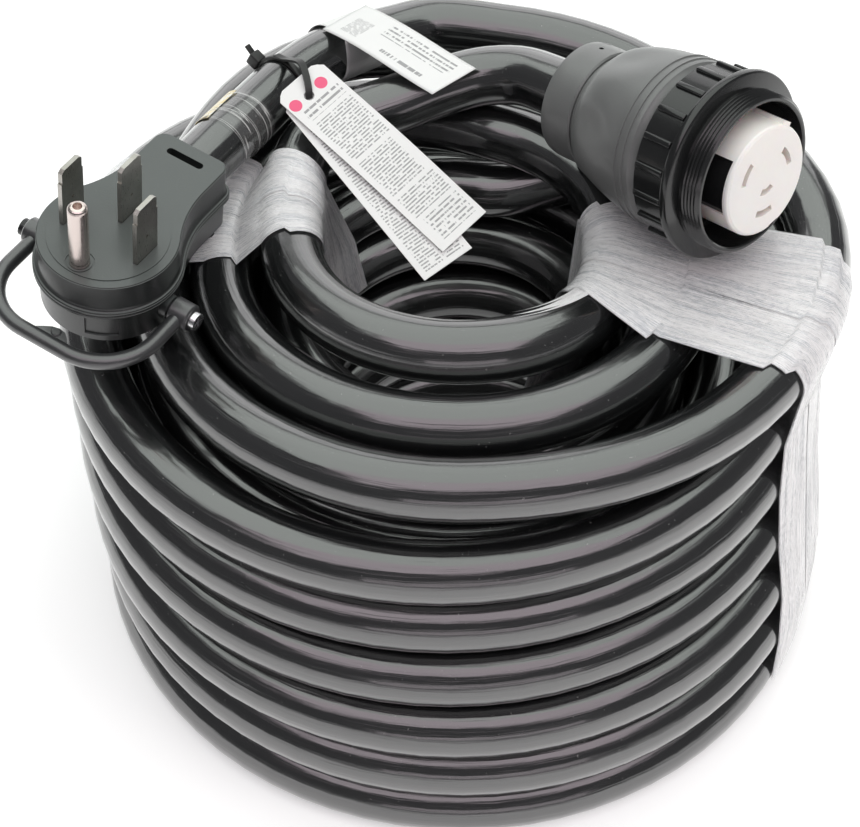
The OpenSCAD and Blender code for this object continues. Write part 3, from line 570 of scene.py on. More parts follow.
cover_smooth = 40
edge_r = 0.4
ridge_out = 1.6
ridge_top = 1.4 - front_h
flare_top = -10.6
flare_out = 1.1
front_levels = [
    *reversed(rounded(0, -edge_r, edge_r, 0)),
    *rounded(0, flare_top, -flare_out, ridge_top, hollow=True),
    *reversed(rounded(-ridge_out, ridge_top - 0.5, -flare_out - 0.1, ridge_top)),
    *rounded(-ridge_out, edge_r - front_h, edge_r - ridge_out, -front_h),
]
front = add_mesh("plug_front", *loft_shape(front_levels, cover_outline), plug_frame, cover_smooth)
slot_x = 46
slot_len = 15.5
slot_r = 1.5
slot_depth = 6
slot_y = slot_len / 2 - slot_r
slot_outline = [*arc(0, slot_y, slot_r, 0, 180, 10), *arc(0, -slot_y, slot_r, 180, 360, 10)]
slot_shape = loft_shape([(0, 2), (0, -slot_depth)], lambda inset: slot_outline)
cut(front, add_mesh("slot", *slot_shape, plug_frame @ moved(slot_x)), cover_smooth)

rear_front = -front_h - parting_gap
rear_back = rear_front - rear_h
ridge_foot = rear_front - 1.5
rear_levels = [
    *reversed(rounded(-ridge_out, rear_front - edge_r, edge_r - ridge_out, rear_front)),
    *rounded(-ridge_out, rear_front - 0.9, -0.6, ridge_foot),
    *rounded(-0.6, ridge_foot, 0.4, rear_front - 3, hollow=True),
    *rounded(0.6, rear_back + 2.5, 3.1, rear_back),
]
rear = add_mesh("plug_rear", *loft_shape(rear_levels, cover_outline), plug_frame, cover_smooth)
# A shallow panel is let into the rear cover's side.
panel_a0, panel_a1 = 196, 224
panel_depth = 1.3
panel_outline = [
    *arc(0, 0, face_r + 3, panel_a0, panel_a1, 11),
    *arc(0, 0, face_r - panel_depth, panel_a1, panel_a0, 11),
]
panel_shape = loft_shape([(0, rear_front - 4), (0, rear_back + 5)], lambda inset: panel_outline)
cut(rear, add_mesh("panel", *panel_shape, plug_frame), cover_smooth)


def across(side, y, z):
    """Lays a body's own Z along the plug's Y, out to one side."""
    return moved(0, side * y, z) @ turned(x=-90 * side)


bail_z = -21
boss_r = 4.6
boss_out = 27.8
boss_shape = disc_shape(boss_r, -6, boss_out - face_r, 0.4)
boss_pair = together(*(shifted(boss_shape, across(side, face_r, bail_z)) for side in (-1, 1)))
bosses = add_mesh("plug_bosses", *boss_pair, plug_frame)

shell_black = (0.006, 0.007, 0.007)
top_light_and_wear_grey = (0.088, 0.1, 0.097)
shell = Finish("charcoal_shell", specular_ior_level=0.5, coat_weight=0.4, coat_roughness=0.2)
shell_at = shell.spot()
mottle = shell.noise(shell_at, 0.05)
rubbed = shell.noise(shell_at, (0.45, 0.108, 0.27), 5, 0.65)
rub = shell.ramp(rubbed, (0.0, 0), (0.6, 0), (0.75, 1))
# Painted light: faces that look up are painted lighter, toward the grey-green sheen that the overhead
# light gives the top face. Random mottle and rubbed wear move the colour toward the same grey.
facing_up = shell.split(shell.node("ShaderNodeNewGeometry", out=1), 2)
painted_top_light = shell.ramp(facing_up, (0.0, 0), (0.7, 0), (0.97, 1)) * 0.75
shell.set("Base Color", shell.mix(painted_top_light + mottle * 0.2 + rub * 0.2, shell_black, top_light_and_wear_grey))
shell.set("Roughness", 0.3 + mottle * 0.12 + rub * 0.12)
shell.bump(shell.noise(shell_at, 1.6, 2) + rub * 0.3, 0.00004)
for piece in (front, rear, bosses):
    dress(piece, shell)
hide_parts("plug_front_cover")
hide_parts("plug_rear_cover")

# ---- Face plate ----
# A plate of the same charcoal plastic, moulded with the blades' slots and a collar round the pin.
# It sits in the front cover's rim, and holds the blades from the front.


def refinish(node, finish, edge=0.0):
    """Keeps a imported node's own mesh, with a new finish and, if asked, a fine bevel on its rims."""
    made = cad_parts[node]
    made.data.materials.clear()
    made.data.materials.append(finish.material)
    shade(made, 30)
    if edge:
        work = made.modifiers.new("edge", "BEVEL")
        work.width, work.segments, work.limit_method = edge * mm, 3, "ANGLE"
        work.angle_limit = math.radians(40)
        work.harden_normals = True


refinish("plug_face", shell, 0.25)

# ---- Blades and ground pin ----
# The blades are punched from brass strip, with shoulders below their tips, and the pin is a hollow
# tube. All are nickel plated, and rubbed along their length by use.
nickel_dark = (0.28, 0.265, 0.24)
nickel_light = (0.56, 0.54, 0.51)
plating = Finish("scuffed_nickel", metallic=1.0, specular_ior_level=0.5)
plating_at = plating.spot()
brushed = plating.noise(plating_at, (3.0, 3.0, 0.12), 4, 0.6)
stain = plating.noise(plating_at, 0.12, 4)
plating.set("Base Color", plating.mix(stain, nickel_dark, nickel_light))
plating.set("Roughness", 0.2 + brushed * 0.2)
plating.bump(brushed, 0.00003)
refinish("line_blades", plating, 0.2)
refinish("neutral_blade", plating, 0.2)
pin_dark = (0.62, 0.52, 0.48)
pin_light = (0.8, 0.72, 0.69)
pin_plating = Finish("warm_nickel", metallic=1.0)
pin_brushed = pin_plating.noise(pin_plating.spot(), (3.0, 3.0, 0.1), 4, 0.6)
pin_plating.cloud(pin_brushed, pin_dark, pin_light, 0.16, 0.16)
pin_plating.bump(pin_brushed, 0.00002)
refinish("ground_pin", pin_plating)

# ---- Bail ----
# A round steel bar bent to a U and coated black, whose two knuckles turn on screws in the shell.
# A small web with a round stop stands inside the bar.
bail_r = 2.9
bail_half = 34.5
bail_reach = 41
bend_r = 22
leg_y = bail_half - bail_r
leg_start = -2.5
leg_turn = -9
bar_x = -(bail_reach - bail_r)
bend_y = leg_y - bend_r
bail_line = [
    (leg_start, leg_y), (leg_turn, leg_y),
    *arc(bar_x + bend_r, bend_y, bend_r, 90, 180, 18),
    *[(bar_x, y) for y in np.linspace(bend_y, -bend_y, 8)[1:-1]],
    *arc(bar_x + bend_r, -bend_y, bend_r, 180, 270, 18),
    (leg_turn, -leg_y), (leg_start, -leg_y),
]  # fmt: skip
bar = tube_shape([(x, y, bail_z) for x, y in bail_line], bail_r, 28)
eye_gap = 0.3
eye_shape = disc_shape(5.2, 0, 8, 0.6)
eyes = [shifted(eye_shape, across(side, boss_out + eye_gap, bail_z)) for side in (-1, 1)]
web_half = 1.5
web_foot = -38
web_outline = [
    (web_foot, 9.5), (-36, 6), (-34, 3.2), (-32.4, 0.6), (-31.7, -2.2), (-32.1, -4.8),
    (-33.6, -6.6), (-35.8, -8.6), (web_foot, -12),
]  # fmt: skip
web = loft_shape([(0, bail_z - web_half), (0, bail_z + web_half)], lambda inset: web_outline)
stop_half = 2.1
stop_shape = disc_shape(1.9, -stop_half, stop_half, 0.4, 24)
stop = shifted(stop_shape, moved(-33.8, -2.2, bail_z))
bail = add_mesh("bail_handle", *together(bar, *eyes, web, stop), plug_frame)
coat_black = (0.018, 0.019, 0.02)
coat_worn = (0.04, 0.042, 0.044)
coating = Finish("black_powder_coat", specular_ior_level=0.8, ior=1.6, coat_weight=0.8,
                 coat_roughness=0.16)  # fmt: skip
coating_at = coating.spot()
coating.cloud(coating.noise(coating_at, 0.15, 4), coat_black, coat_worn, 0.3, 0.14)
coating.bump(coating.noise(coating_at, 1.2, 2), 0.00006)
dress(bail, coating, "bail")
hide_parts("bail")

# ---- Screws ----
# The bail turns on two steel screws. One of them is painted black as painted shade, and the other is
# bright steel. The screws inside the plug and the connector, and the ring's retainer, are bright zinc
# on steel.
painted_shade_black = (0.015, 0.015, 0.016)
screw_bright = (0.78, 0.78, 0.79)
screw_steel = Finish("pivot_screw_steel")
# Painted shade: the screw on the plug's +Y side is made black and not metal, and the screw on the
# other side stays bright steel.
unshaded_screw = screw_steel.split(screw_steel.laid(plug_frame), 1) < 0
screw_steel.set("Base Color", screw_steel.mix(unshaded_screw, painted_shade_black, screw_bright))
screw_steel.set("Metallic", unshaded_screw)
screw_steel.roughen(0.16, 0.18, 0.8)
refinish("bail_screws", screw_steel)
zinc = Finish("bright_zinc", metallic=1.0, base_color=(0.75, 0.75, 0.76))
zinc.roughen(0.14, 0.18, 0.8)
for node in ("plug_cover_screws", "clamp_screws", "contact_screws", "ring_retainer"):
    refinish(node, zinc)

# ---- Connector housing and grip ----
# A bell of charcoal plastic with two fine steps behind the ring, drawn in by shallow flats where it
# narrows, and a plain round grip that closes on the cord with two screws.
housing_r = 31.5
grip_r = 22.4
nose_r = 25.6
nose_front = -22
band_back = -27.8
bell_end_r = grip_r - 1.2
bell_front = -33
dome_back = -67
dome_len = bell_front - dome_back
dome_rise = housing_r - bell_end_r
turned_smooth = 32


def bell_r(z):
    """The dome's radius: a quarter of an ellipse that closes in to the cord grip."""
    return bell_end_r + dome_rise * math.sqrt(max(0, 1 - ((bell_front - z) / dome_len) ** 2))


flat_count = 6
flat_depth = 1.8
flat_z = -55
flat_spread = 8.5


def flats(a, radius, z):
    """How far shallow flats draw the dome in: they are deepest towards its rear."""
    along = math.exp(-(((z - flat_z) / flat_spread) ** 2))
    around = 0.5 + 0.5 * math.cos(flat_count * a)
    return -flat_depth * along * around**2 if radius > bell_end_r + 0.5 else 0


shoulder_z = band_back - 0.5
bell_profile = [
    (nose_r - 3.3, nose_front), (nose_r, nose_front), (nose_r, shoulder_z),
    (housing_r - 2.8, shoulder_z), (housing_r - 2.3, band_back - 0.9), (housing_r - 1.2, -30.9),
    (housing_r - 0.3, -31.6), (housing_r, -32.6),
]  # fmt: skip
fine_step = 0.5
slope_step = -0.6
for z0 in (-35.0, -38.5):
    slope_top = bell_profile[-1][1] + slope_step
    bell_profile += [(bell_r(z), z) for z in np.arange(slope_top, z0 + 1.25, slope_step)]
    lip, foot = bell_r(z0 + 1.2), bell_r(z0)
    bell_profile += [
        (lip, z0 + 1.25), (lip + fine_step, z0 + 1.1), (foot + fine_step, z0 + 0.15), (foot, z0),
    ]  # fmt: skip
dome_from = -39.5
dome_start = math.degrees(math.asin((bell_front - dome_from) / dome_len))
bell_profile += [
    (bell_end_r + dome_rise * math.cos(a), bell_front - dome_len * math.sin(a))
    for a in np.radians(np.linspace(dome_start, 90, 26))
]
bell_profile += [(bell_end_r, dome_back - 1.8), (cord_r + 6, dome_back - 1.8)]
bell_shape = lathe_shape(bell_profile, 144, flats)
bell = add_mesh("connector_bell", *bell_shape, connector_frame, turned_smooth)

grip_front = dome_back - 1.9
grip_mouth = cord_r + 1.6
grip_profile = [
    (cord_r + 5, grip_front), (grip_r - 0.6, grip_front), (grip_r, grip_front - 0.6),
    *[(grip_r, z) for z in np.linspace(-71, grip_back + 3, 6)],
    (grip_r - 0.4, grip_back + 1), (grip_r - 1.6, grip_back), (grip_mouth + 0.2, grip_back),
    (grip_mouth, grip_back + 0.3), (grip_mouth, grip_back + 5),
]  # fmt: skip
grip = add_mesh("connector_grip_shell", *lathe_shape(grip_profile), connector_frame, turned_smooth)


def soft_block(size, radius, segments=3):
    """Points and faces of a box with rounded edges, centred on its own origin."""
    work = bmesh.new()
    bmesh.ops.create_cube(work, size=1)
    bmesh.ops.scale(work, vec=size, verts=work.verts)
    bmesh.ops.bevel(work, geom=work.edges[:], offset=radius, segments=segments, affect="EDGES",
                    profile=0.5)  # fmt: skip
    work.verts.index_update()
    shape = [tuple(v.co) for v in work.verts], [tuple(v.index for v in f.verts) for f in work.faces]
    work.free()
    return shape


def on_grip(a, out, up):
    """A frame at an angle round the grip, out from its skin and up from its rear rim."""
    return connector_frame @ turned(z=a) @ moved(grip_r + out, 0, grip_back + up)


# Two small holes are sunk in the grip, with three slanting nicks between them.
hole_turns = (120, 165)
hole_up = 8
hole_shape = disc_shape(0.9, 0, 8, 0.1, 16)
for a in hole_turns:
    hole = add_mesh("screw_hole", *hole_shape, on_grip(a, -3, hole_up) @ turned(y=90))
    cut(grip, hole, turned_smooth)
nick_turns = (141, 144.5, 148)
nick_up = 4.4
nick_slant = 24
nick_shape = soft_block((1.2, 0.5, 4.2), 0.1, 1)
for a in nick_turns:
    nick = add_mesh("nick", *nick_shape, on_grip(a, 0.25, nick_up) @ turned(x=nick_slant))
    cut(grip, nick, turned_smooth)
charcoal_dark = (0.13, 0.134, 0.132)
charcoal_light = (0.18, 0.185, 0.183)
charcoal = Finish("soft_charcoal", specular_ior_level=0.7, coat_weight=0.35, coat_roughness=0.22)
charcoal_at = charcoal.spot()
charcoal.cloud(charcoal.noise(charcoal_at, 0.06), charcoal_dark, charcoal_light, 0.36, 0.14)
charcoal.bump(charcoal.noise(charcoal_at, 1.3, 2), 0.00004)
dress(bell, charcoal)
dress(grip, charcoal)
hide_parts("connector_housing")
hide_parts("connector_grip")

# ---- Grommet, gasket and grip screws ----
# Soft black rubber: a ring squeezed onto the cord inside the grip, and a flat seal in the
# connector's mouth. The grip's sunk screws are as black and as dull.
rubber = Finish("soft_black_rubber", base_color=(0.012, 0.012, 0.013), specular_ior_level=0.4)
rubber.roughen(0.5, 0.2, 0.7, 2)
for node in ("cord_grommet", "face_gasket", "grip_screws"):
    refinish(node, rubber)

# ---- Lock ring ----
# One black moulding that turns on the housing's nose: a band with raised bars for the hand, a smooth
# flange, and a skirt with a fine outside thread round the open mouth.
flange_r = 35.1
band_r = 32.2
band_front = -13.5
flange_front = -9.5
skirt_r = 29.6
mouth_r = 27
mouth_floor = -20.0
bore_r = nose_r + 0.3
ring_profile = [
    (bore_r, band_back), (band_r - 0.8, band_back), (band_r, band_back + 0.5),
    (band_r, band_front - 0.4), (band_r - 0.5, band_front), (band_r - 0.5, band_front + 0.6),
    (flange_r - 2.6, band_front + 0.7), (flange_r - 2.2, band_front + 0.2),
    (flange_r - 1.0, band_front + 0.3), (flange_r - 0.2, band_front + 0.8),
    (flange_r, band_front + 1.4), (flange_r, flange_front - 1.0),
    (flange_r - 0.3, flange_front - 0.4), (flange_r - 1.0, flange_front),
    (skirt_r - 0.2, flange_front + 0.1), (skirt_r - 0.8, flange_front + 0.4),
    (skirt_r - 0.8, flange_front + 1.6),
]  # fmt: skip
# One thread's section: [depth under its crest, height].
thread_form = [[0.7, 0], [0.15, 0.35], [0, 0.55], [0.15, 0.75], [0.7, 1.1]]
thread_pitch = 1.5
thread_count = 5
for i in range(thread_count):
    z = flange_front + 1.7 + i * thread_pitch
    ring_profile += [(skirt_r - under, z + up) for under, up in thread_form]
ring_profile += [
    (skirt_r - 0.8, -0.6), (skirt_r - 1.2, -0.12), (skirt_r - 1.6, 0), (mouth_r + 0.5, 0),
    (mouth_r, -0.4), (mouth_r, mouth_floor), (bore_r, mouth_floor), (bore_r, band_back),
]  # fmt: skip
rib_count = 19
rib_start = 2
rib_len = band_front - band_back - 1.7
rib_at = moved(band_r + 0.05, 0, band_back + 0.8 + rib_len / 2)
rib_shape = soft_block((2.4, 2.6, rib_len), 0.75)
ribs = [
    shifted(rib_shape, turned(z=rib_start + 360 * k / rib_count) @ rib_at) for k in range(rib_count)
]
ring_shape = together(lathe_shape(ring_profile, 144), *ribs)
ring = add_mesh("locking_ring", *ring_shape, connector_frame, 30)
ring_black = (0.008, 0.0085, 0.009)
ring_cloud = (0.018, 0.019, 0.019)
moulding = Finish("glossy_black_moulding", specular_ior_level=0.5, coat_weight=0.3,
                  coat_roughness=0.06)  # fmt: skip
moulding_at = moulding.spot()
moulding.cloud(moulding.noise(moulding_at, 0.08), ring_black, ring_cloud, 0.14, 0.14)
moulding.bump(moulding.noise(moulding_at, 1.5, 2), 0.00003)
dress(ring, moulding, "lock_ring")
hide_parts("lock_ring")

# ---- Contact carrier ----
# A core of white nylon, slightly translucent, with narrow curved contact slots, a key on its side
# and a black insert let into its wall.
nylon_warm = (0.98, 0.9, 0.85)
nylon_white = (0.99, 0.94, 0.91)
nylon = Finish("white_nylon", subsurface_weight=0.15, specular_ior_level=0.5)
nylon_at = nylon.spot()
nylon.cloud(nylon.noise(nylon_at, 0.09), nylon_warm, nylon_white, 0.32, 0.15)
nylon.bump(nylon.noise(nylon_at, 0.5), 0.00006)
refinish("contact_carrier", nylon, 0.5)
refinish("carrier_window", moulding, 0.3)

# ---- Contacts and conductors ----
# Sprung contacts and screw clamps bent from brass strip, deep inside both ends, and the four
# insulated conductors that they hold, with the clamp that grips the cord in the plug.
brass = Finish("plain_brass", metallic=1.0, base_color=(0.7, 0.52, 0.24))
brass.roughen(0.25, 0.2, 0.6)
for node in ("line_contacts", "neutral_contact", "ground_contact", "blade_clamps"):
    refinish(node, brass)
insulation = Finish("conductor_insulation", base_color=(0.25, 0.25, 0.25))
insulation.roughen(0.35, 0.1, 0.5, 2)
for node in ("plug_conductors", "connector_conductors", "plug_cord_clamp"):
    refinish(node, insulation)

# ---- Stretch film ----
# Clear film wound tight through the coil's hole and down its wall, in many layers, so that it
# turns white and silvery along its creases. Each band is drawn taut from turn to turn.
film_r = cord_r + 0.45
climb_space = 0.45
lead_column = -1
lead_joins = travel_end - last_turn
top_lean = lean_y[-1][1]
# The connector's lead under the left band: [compass angle, radius] and [compass angle, height].
lead_radius = [[lead_joins, 62], [286, 63.6], [295, 66.2], [300, 68.2], [305.5, 68.8],
               [315.3, 67.5], [320.6, 65.7]]  # fmt: skip
lead_height = [[lead_joins, 157], [297, 156.9], [305.5, 158.5], [315.3, 160], [320.6, 161]]
# Where each band touches the turns: [travel of the turn less the compass angle, angle of contact
# from outwards, spread of compass angles, shift of their middle].
right_touches = [
    [19 * turn, 180, 64, 0], [20 * turn, 180, 64, 0], [last_turn, 180, 62, 0],
    [last_turn, 120, 59, 0], [last_turn, 86, 55, 0], [21 * turn, 98, 46, 0], [21 * turn, 84, 42, 0],
    [0, 94, 32, 0], [0, 60, 27, 0], [0, 0, 24, 0], *[[n * turn, 0, 24, 0] for n in range(1, 6)],
    [6 * turn, -10, 24, 0],
]  # fmt: skip
left_touches = [
    [19 * turn, 180, 56, 12], [20 * turn, 180, 54, 10], [lead_column, 180, 40, -5],
    [lead_column, 90, 40, -4], [lead_column, 30, 39, -2.5], [21 * turn, 120, 37, -0.5],
    [21 * turn, 60, 36, 1], [0, 120, 33, 2.5], [0, 60, 31, 3], [turn, 60, 30, 4],
    *[[n * turn, 0, 30, 4] for n in range(1, 6)], [5 * turn, -10, 30, 4],
]  # fmt: skip


def film_point(travel, contact, a, out):
    """A point of the film that touches a turn at a contact angle, at compass angle a."""
    r = film_r + out
    outwards = np.array([math.sin(math.radians(a)), math.cos(math.radians(a)), 0])
    if travel in (last_turn, lead_column):
        r += climb_space
    if travel != lead_column:
        centre = cord_at(travel + a)
    elif a < lead_joins:
        centre = cord_at(last_turn + a)
    else:
        centre = place + outwards * lookup(a, lead_radius) + [0, top_lean, lookup(a, lead_height)]
    lean = math.radians(contact)
    return centre + r * (math.cos(lean) * outwards + [0, 0, math.sin(lean)])


def film_row(touches, middle, s, out, steps=7):
    """The film's section at s across its band: round each turn, and straight between them."""
    line = []
    for k, (travel, contact, spread, shift) in enumerate(touches):
        wander = math.sin(2.1 * k + 9 * s) * spread * 0.02
        a = middle + shift + spread * (s - 0.5) + wander
        here = film_point(travel, contact, a, out)
        if line:
            before = line[-1]
            from_travel, from_contact = touches[k - 1][:2]
            for f in (j / steps for j in range(1, steps)):
                if from_travel == travel:
                    part_way = from_contact + (contact - from_contact) * f
                    line.append(film_point(travel, part_way, a, out))
                else:
                    line.append(before + (here - before) * f)
        line.append(here)
    return line


pile_middle = [*place[:2], 70]
pleat_h = 0.16
band_w = 70
layer_apart = 90


def film_layer(touches, middle, s0, s1, skew, out, rows):
    """One layer of film from s0 to s1 across the band, slanting by skew from end to end."""
    grid = []
    for s in s0 + (s1 - s0) * (np.arange(rows + 1) / rows):
        start = np.array(film_row(touches, middle, s, out))
        end = np.array(film_row(touches, middle, min(1, max(0, s + skew)), out))
        share = np.linspace(0, 1, len(start))[:, None]
        grid.append(start * (1 - share) + end * share if skew else start)
    grid = np.array(grid)
    length = grid.shape[1]
    outward = grid - pile_middle
    outward /= np.linalg.norm(outward, axis=2, keepdims=True)
    # Two sets of fine pleats run down the band, and swell and fade along it.
    wide = np.linspace(s0, s1, rows + 1)[:, None]
    down = np.linspace(0, 1, length)[None, :]
    pleat = np.sin(173 * wide + 3 * np.sin(7 * down)) + 0.7 * np.sin(331 * wide + 5 * down + 1.0)
    swell = 0.55 + 0.45 * np.sin(19 * down + 60 * wide)
    grid += outward * (np.maximum(pleat, 0) * swell * pleat_h)[..., None]
    wound_at = np.stack([
        np.repeat(wide[:, 0] * band_w + out * layer_apart, length),
        np.tile(run_along(grid[rows // 2]), rows + 1),
        np.repeat(np.linspace(0, 1, rows + 1), length),
    ], axis=1)  # fmt: skip
    return grid.reshape(-1, 3), grid_faces(rows + 1, length), wound_at


strand_from = 136
strand_reach = 28.5


def strand(contact, width, lift, rows=26, cells=6):
    """A narrow layer that leaves the right band and runs on along the last turn, to a point."""
    points = []
    for i in range(rows + 1):
        a = strand_from + strand_reach * i / rows
        for k in range(cells + 1):
            off_middle = width * (1 - i / rows) ** 1.3 * (k / cells - 0.5)
            here = contact + (a - strand_from) * 0.4 + off_middle
            points.append(film_point(last_turn, here, a, lift))
    cells_at = [(i, k) for i in range(rows + 1) for k in range(cells + 1)]
    wound_at = [(contact + 0.7 * k, 2.2 * i, 0.0) for i, k in cells_at]
    return points, grid_faces(rows + 1, cells + 1), wound_at


def film_band(name, layers):
    """A band of film as one piece, out of its layers."""
    made = add_mesh(name, *together(*(layer[:2] for layer in layers)), smooth_angle=80)
    mark_points(made, "wound", np.concatenate([wound_at for _, _, wound_at in layers]))
    return made


# Each layer: [from, to, slant, lift, rows], and each strand: [contact angle, width, lift].
left_middle = 278
left_layers = [[0, 1, 0, 0, 70], [0, 0.34, 0.05, 0.2, 30], [0.5, 1, -0.1, 0.3, 40]]
right_middle = 110.5
right_layers = [
    [0, 1, 0, 0, 90], [0, 0.3, 0.06, 0.2, 36], [0.26, 0.62, -0.08, 0.3, 40],
    [0.66, 1, -0.1, 0.4, 40], [0.84, 1, 0, 0.5, 20],
]  # fmt: skip
strands = [[100, 26, 0.1], [110, 12, 0.3], [90, 9, 0.4]]
left_film = film_band(
    "film_wrap_left", [film_layer(left_touches, left_middle, *layer) for layer in left_layers]
)
right_film = film_band(
    "film_wrap_right",
    [
        *(film_layer(right_touches, right_middle, *layer) for layer in right_layers),
        *(strand(*values) for values in strands),
    ],
)
film_clear = (0.86, 0.91, 0.99)
film_white = (1.0, 0.99, 1.0)
film = Finish("clear_stretch_film", specular_ior_level=0.9, coat_weight=1.0, coat_roughness=0.07)
wound = film.named("wound")
across_band = film.split(wound, 2)
fine = film.noise(wound, (4.2, 0.05, 0), 4, 0.8)
broad = film.noise(wound, (0.24, 0.02, 0))
crinkled = film.noise(wound, (1.0, 0.34, 0), 5, 0.65)
lines = film.noise(wound, (3.1, 0.03, 0), 3, 0.7)
gathered = film.ramp(across_band, (0.0, 1), (0.001, 0))
streaks = film.ramp(fine * 0.8 + crinkled * 0.3 + broad * 0.4, (0.0, 0), (0.58, 0), (0.76, 1))
creased = streaks.at_least(gathered)
clear_lines = film.ramp(lines, (0.0, 0), (0.42, 0), (0.45, 1), (0.475, 0))
folded = film.ramp(across_band * (1 - across_band) * 4, (0.0, 1), (0.1, 0.2), (0.3, 0))
film.set("Base Color", film.mix(creased, film_clear, film_white))
film.set("Alpha", (0.34 + creased * 0.66 + folded * 0.14) * (1 - clear_lines * 0.6))
film.set("Roughness", 0.1 + creased * 0.2)
film.bump(fine + crinkled * 0.9, 0.00035)
for band, node in ((left_film, "film_left"), (right_film, "film_right")):
    dress(band, film)
    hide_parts(node)

# ---- Cable tie ----
# A black nylon tie round the plug's lead: a thin strap, its ratchet head on the far side, and the
# strap's run through the punched holes of the tags.
tie_at = place + [-67, 77, 166]
tie_dir = [13, 18, -3]


def cad_frame(point, direction):
    """A frame at a point, turned to a direction by its slope and heading, as the solid is."""
    d = unit(direction)
    slope, heading = math.degrees(math.acos(d[2])), math.degrees(math.atan2(d[1], d[0]))
    return moved(*point) @ turned(y=slope, z=heading)


def ribbon(points, wide, thick, side):
    """A strap through points, whose width stays along one direction."""
    line = np.array(through(points, 1.2))
    over = np.cross(np.broadcast_to(side, line.shape), headings(line))
    section = [(-0.5, -0.5), (0.5, -0.5), (0.5, 0.5), (-0.5, 0.5)]
    strap_points = [
        p + side * wide * u + n * thick * v for p, n in zip(line, over) for u, v in section
    ]
    return strap_points, grid_faces(len(line), 4, closed=True)


tie_half = 1.3
tie_in = cord_r + 0.25
tie_out = tie_in + 1.1
strap = lathe_shape([
    (tie_in, -tie_half), (tie_out - 0.2, -tie_half), (tie_out, 0.3 - tie_half),
    (tie_out, tie_half - 0.3), (tie_out - 0.2, tie_half), (tie_in, tie_half), (tie_in, -tie_half),
], 72)  # fmt: skip
head_turn = turned(z=115)
tail_at = moved(cord_r + 6.8, 1.2, 0.2) @ turned(z=14)
tie_head = shifted(soft_block((5.0, 5.4, 5.0), 0.7), head_turn @ moved(cord_r + 3.2))
tie_tail = shifted(soft_block((5.5, 1.2, 2.4), 0.4), head_turn @ tail_at)
loop = shifted(together(strap, tie_head, tie_tail), cad_frame(tie_at, tie_dir))
strap_run = ribbon(
    [place + p for p in [[-69, 81.5, 177.6], [-66, 78.3, 178.6], [-62.5, 73.6, 182.2],
                         [-58.6, 68.2, 185.3], [-56.6, 62, 184.9], [-55.5, 57, 182.4],
                         [-55.3, 54.6, 179.6]]],
    2 * tie_half, 1.0, unit([0.9, 0.43, 0]),
)  # fmt: skip
tie = add_mesh("tie_strap", *together(loop, strap_run))
tie_black = (0.012, 0.012, 0.012)
black_nylon = Finish("black_nylon", base_color=tie_black, specular_ior_level=0.5)
black_nylon.roughen(0.3, 0.15, 0.9, 2)
dress(tie, black_nylon)
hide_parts("cable_tie")

# ---- Hang tags ----
# Two tags of coated white card on one tie, printed in grey, the front one with two pink dots.
# They lie over the lead and into the coil's hole, and bend a little under their own weight.
tag_len = 88
tag_w = 23
tag_t = 0.4
tag_corner = 3.0
tag_hole = (8.4, 9.8, 0)
tag_at = place + [-68.2, 54, 180.5]
tag_frame = moved(*tag_at) @ turned(z=-42) @ turned(13, 16, 0)
rear_frame = moved(z=-1.4) @ tag_frame @ moved(3.5) @ turned(z=-8)


def thicken(made, thickness, offset):
    """Gives a sheet its thickness, to one side of its points."""
    thick = made.modifiers.new("thick", "SOLIDIFY")
    thick.thickness, thick.offset = thickness * mm, offset


def card(name, wide, matrix, bow, columns=44, rows=12):
    """A card with two cut corners and a punched hole, bowed along its length."""
    points = []
    for i in range(columns + 1):
        for k in range(rows + 1):
            y = wide * k / rows
            start = max(0, tag_corner - y, tag_corner - (wide - y))
            x = start + (tag_len - start) * i / columns
            points.append((x, y, bow(x / tag_len)))
    made = add_mesh(name, points, grid_faces(columns + 1, rows + 1, flipped=True), matrix)
    thicken(made, tag_t, 1)
    hole = add_mesh("hole", *disc_shape(2.0, -9, 9, 0.1, 24), matrix @ moved(*tag_hole))
    return cut(made, hole, 40)


ink = (0.16, 0.16, 0.17)
pink = (0.9, 0.12, 0.25)
card_shade = (0.86, 0.86, 0.855)
card_white = (0.9, 0.9, 0.895)


def print_card(name, matrix, blocks, dots=()):
    """A white card finish with plain ruled dashes in blocks: (x0, x1, y0, y1, spacing, upright)."""
    made = Finish(name, specular_ior_level=0.45)
    where = made.laid(matrix)
    x, y = made.split(where, 0), made.split(where, 1)
    stock = made.mix(made.noise(where, 0.06, 2), card_shade, card_white)
    for x0, x1, y0, y1, spacing, upright in blocks:
        over, along = (x, y) if upright else (y, x)
        rule = over / spacing
        cells = {0: along * 0.9, 1: rule.floor() * 7.3}
        dash = made.noise(made.node("ShaderNodeCombineXYZ", {}, cells), 1.0, 1) > 0.44
        inside = (x > x0) * (x < x1) * (y > y0) * (y < y1)
        stock = made.mix((rule.fract() < 0.42) * dash * inside * 0.72, stock, ink)
    for dot_x, dot_y, dot_r in dots:
        near = (x - dot_x) * (x - dot_x) + (y - dot_y) * (y - dot_y) < dot_r * dot_r
        stock = made.mix(near, stock, pink)
    made.set("Base Color", stock)
    made.set("Roughness", 0.36 + made.noise(where, 0.4, 2) * 0.12)
    return made


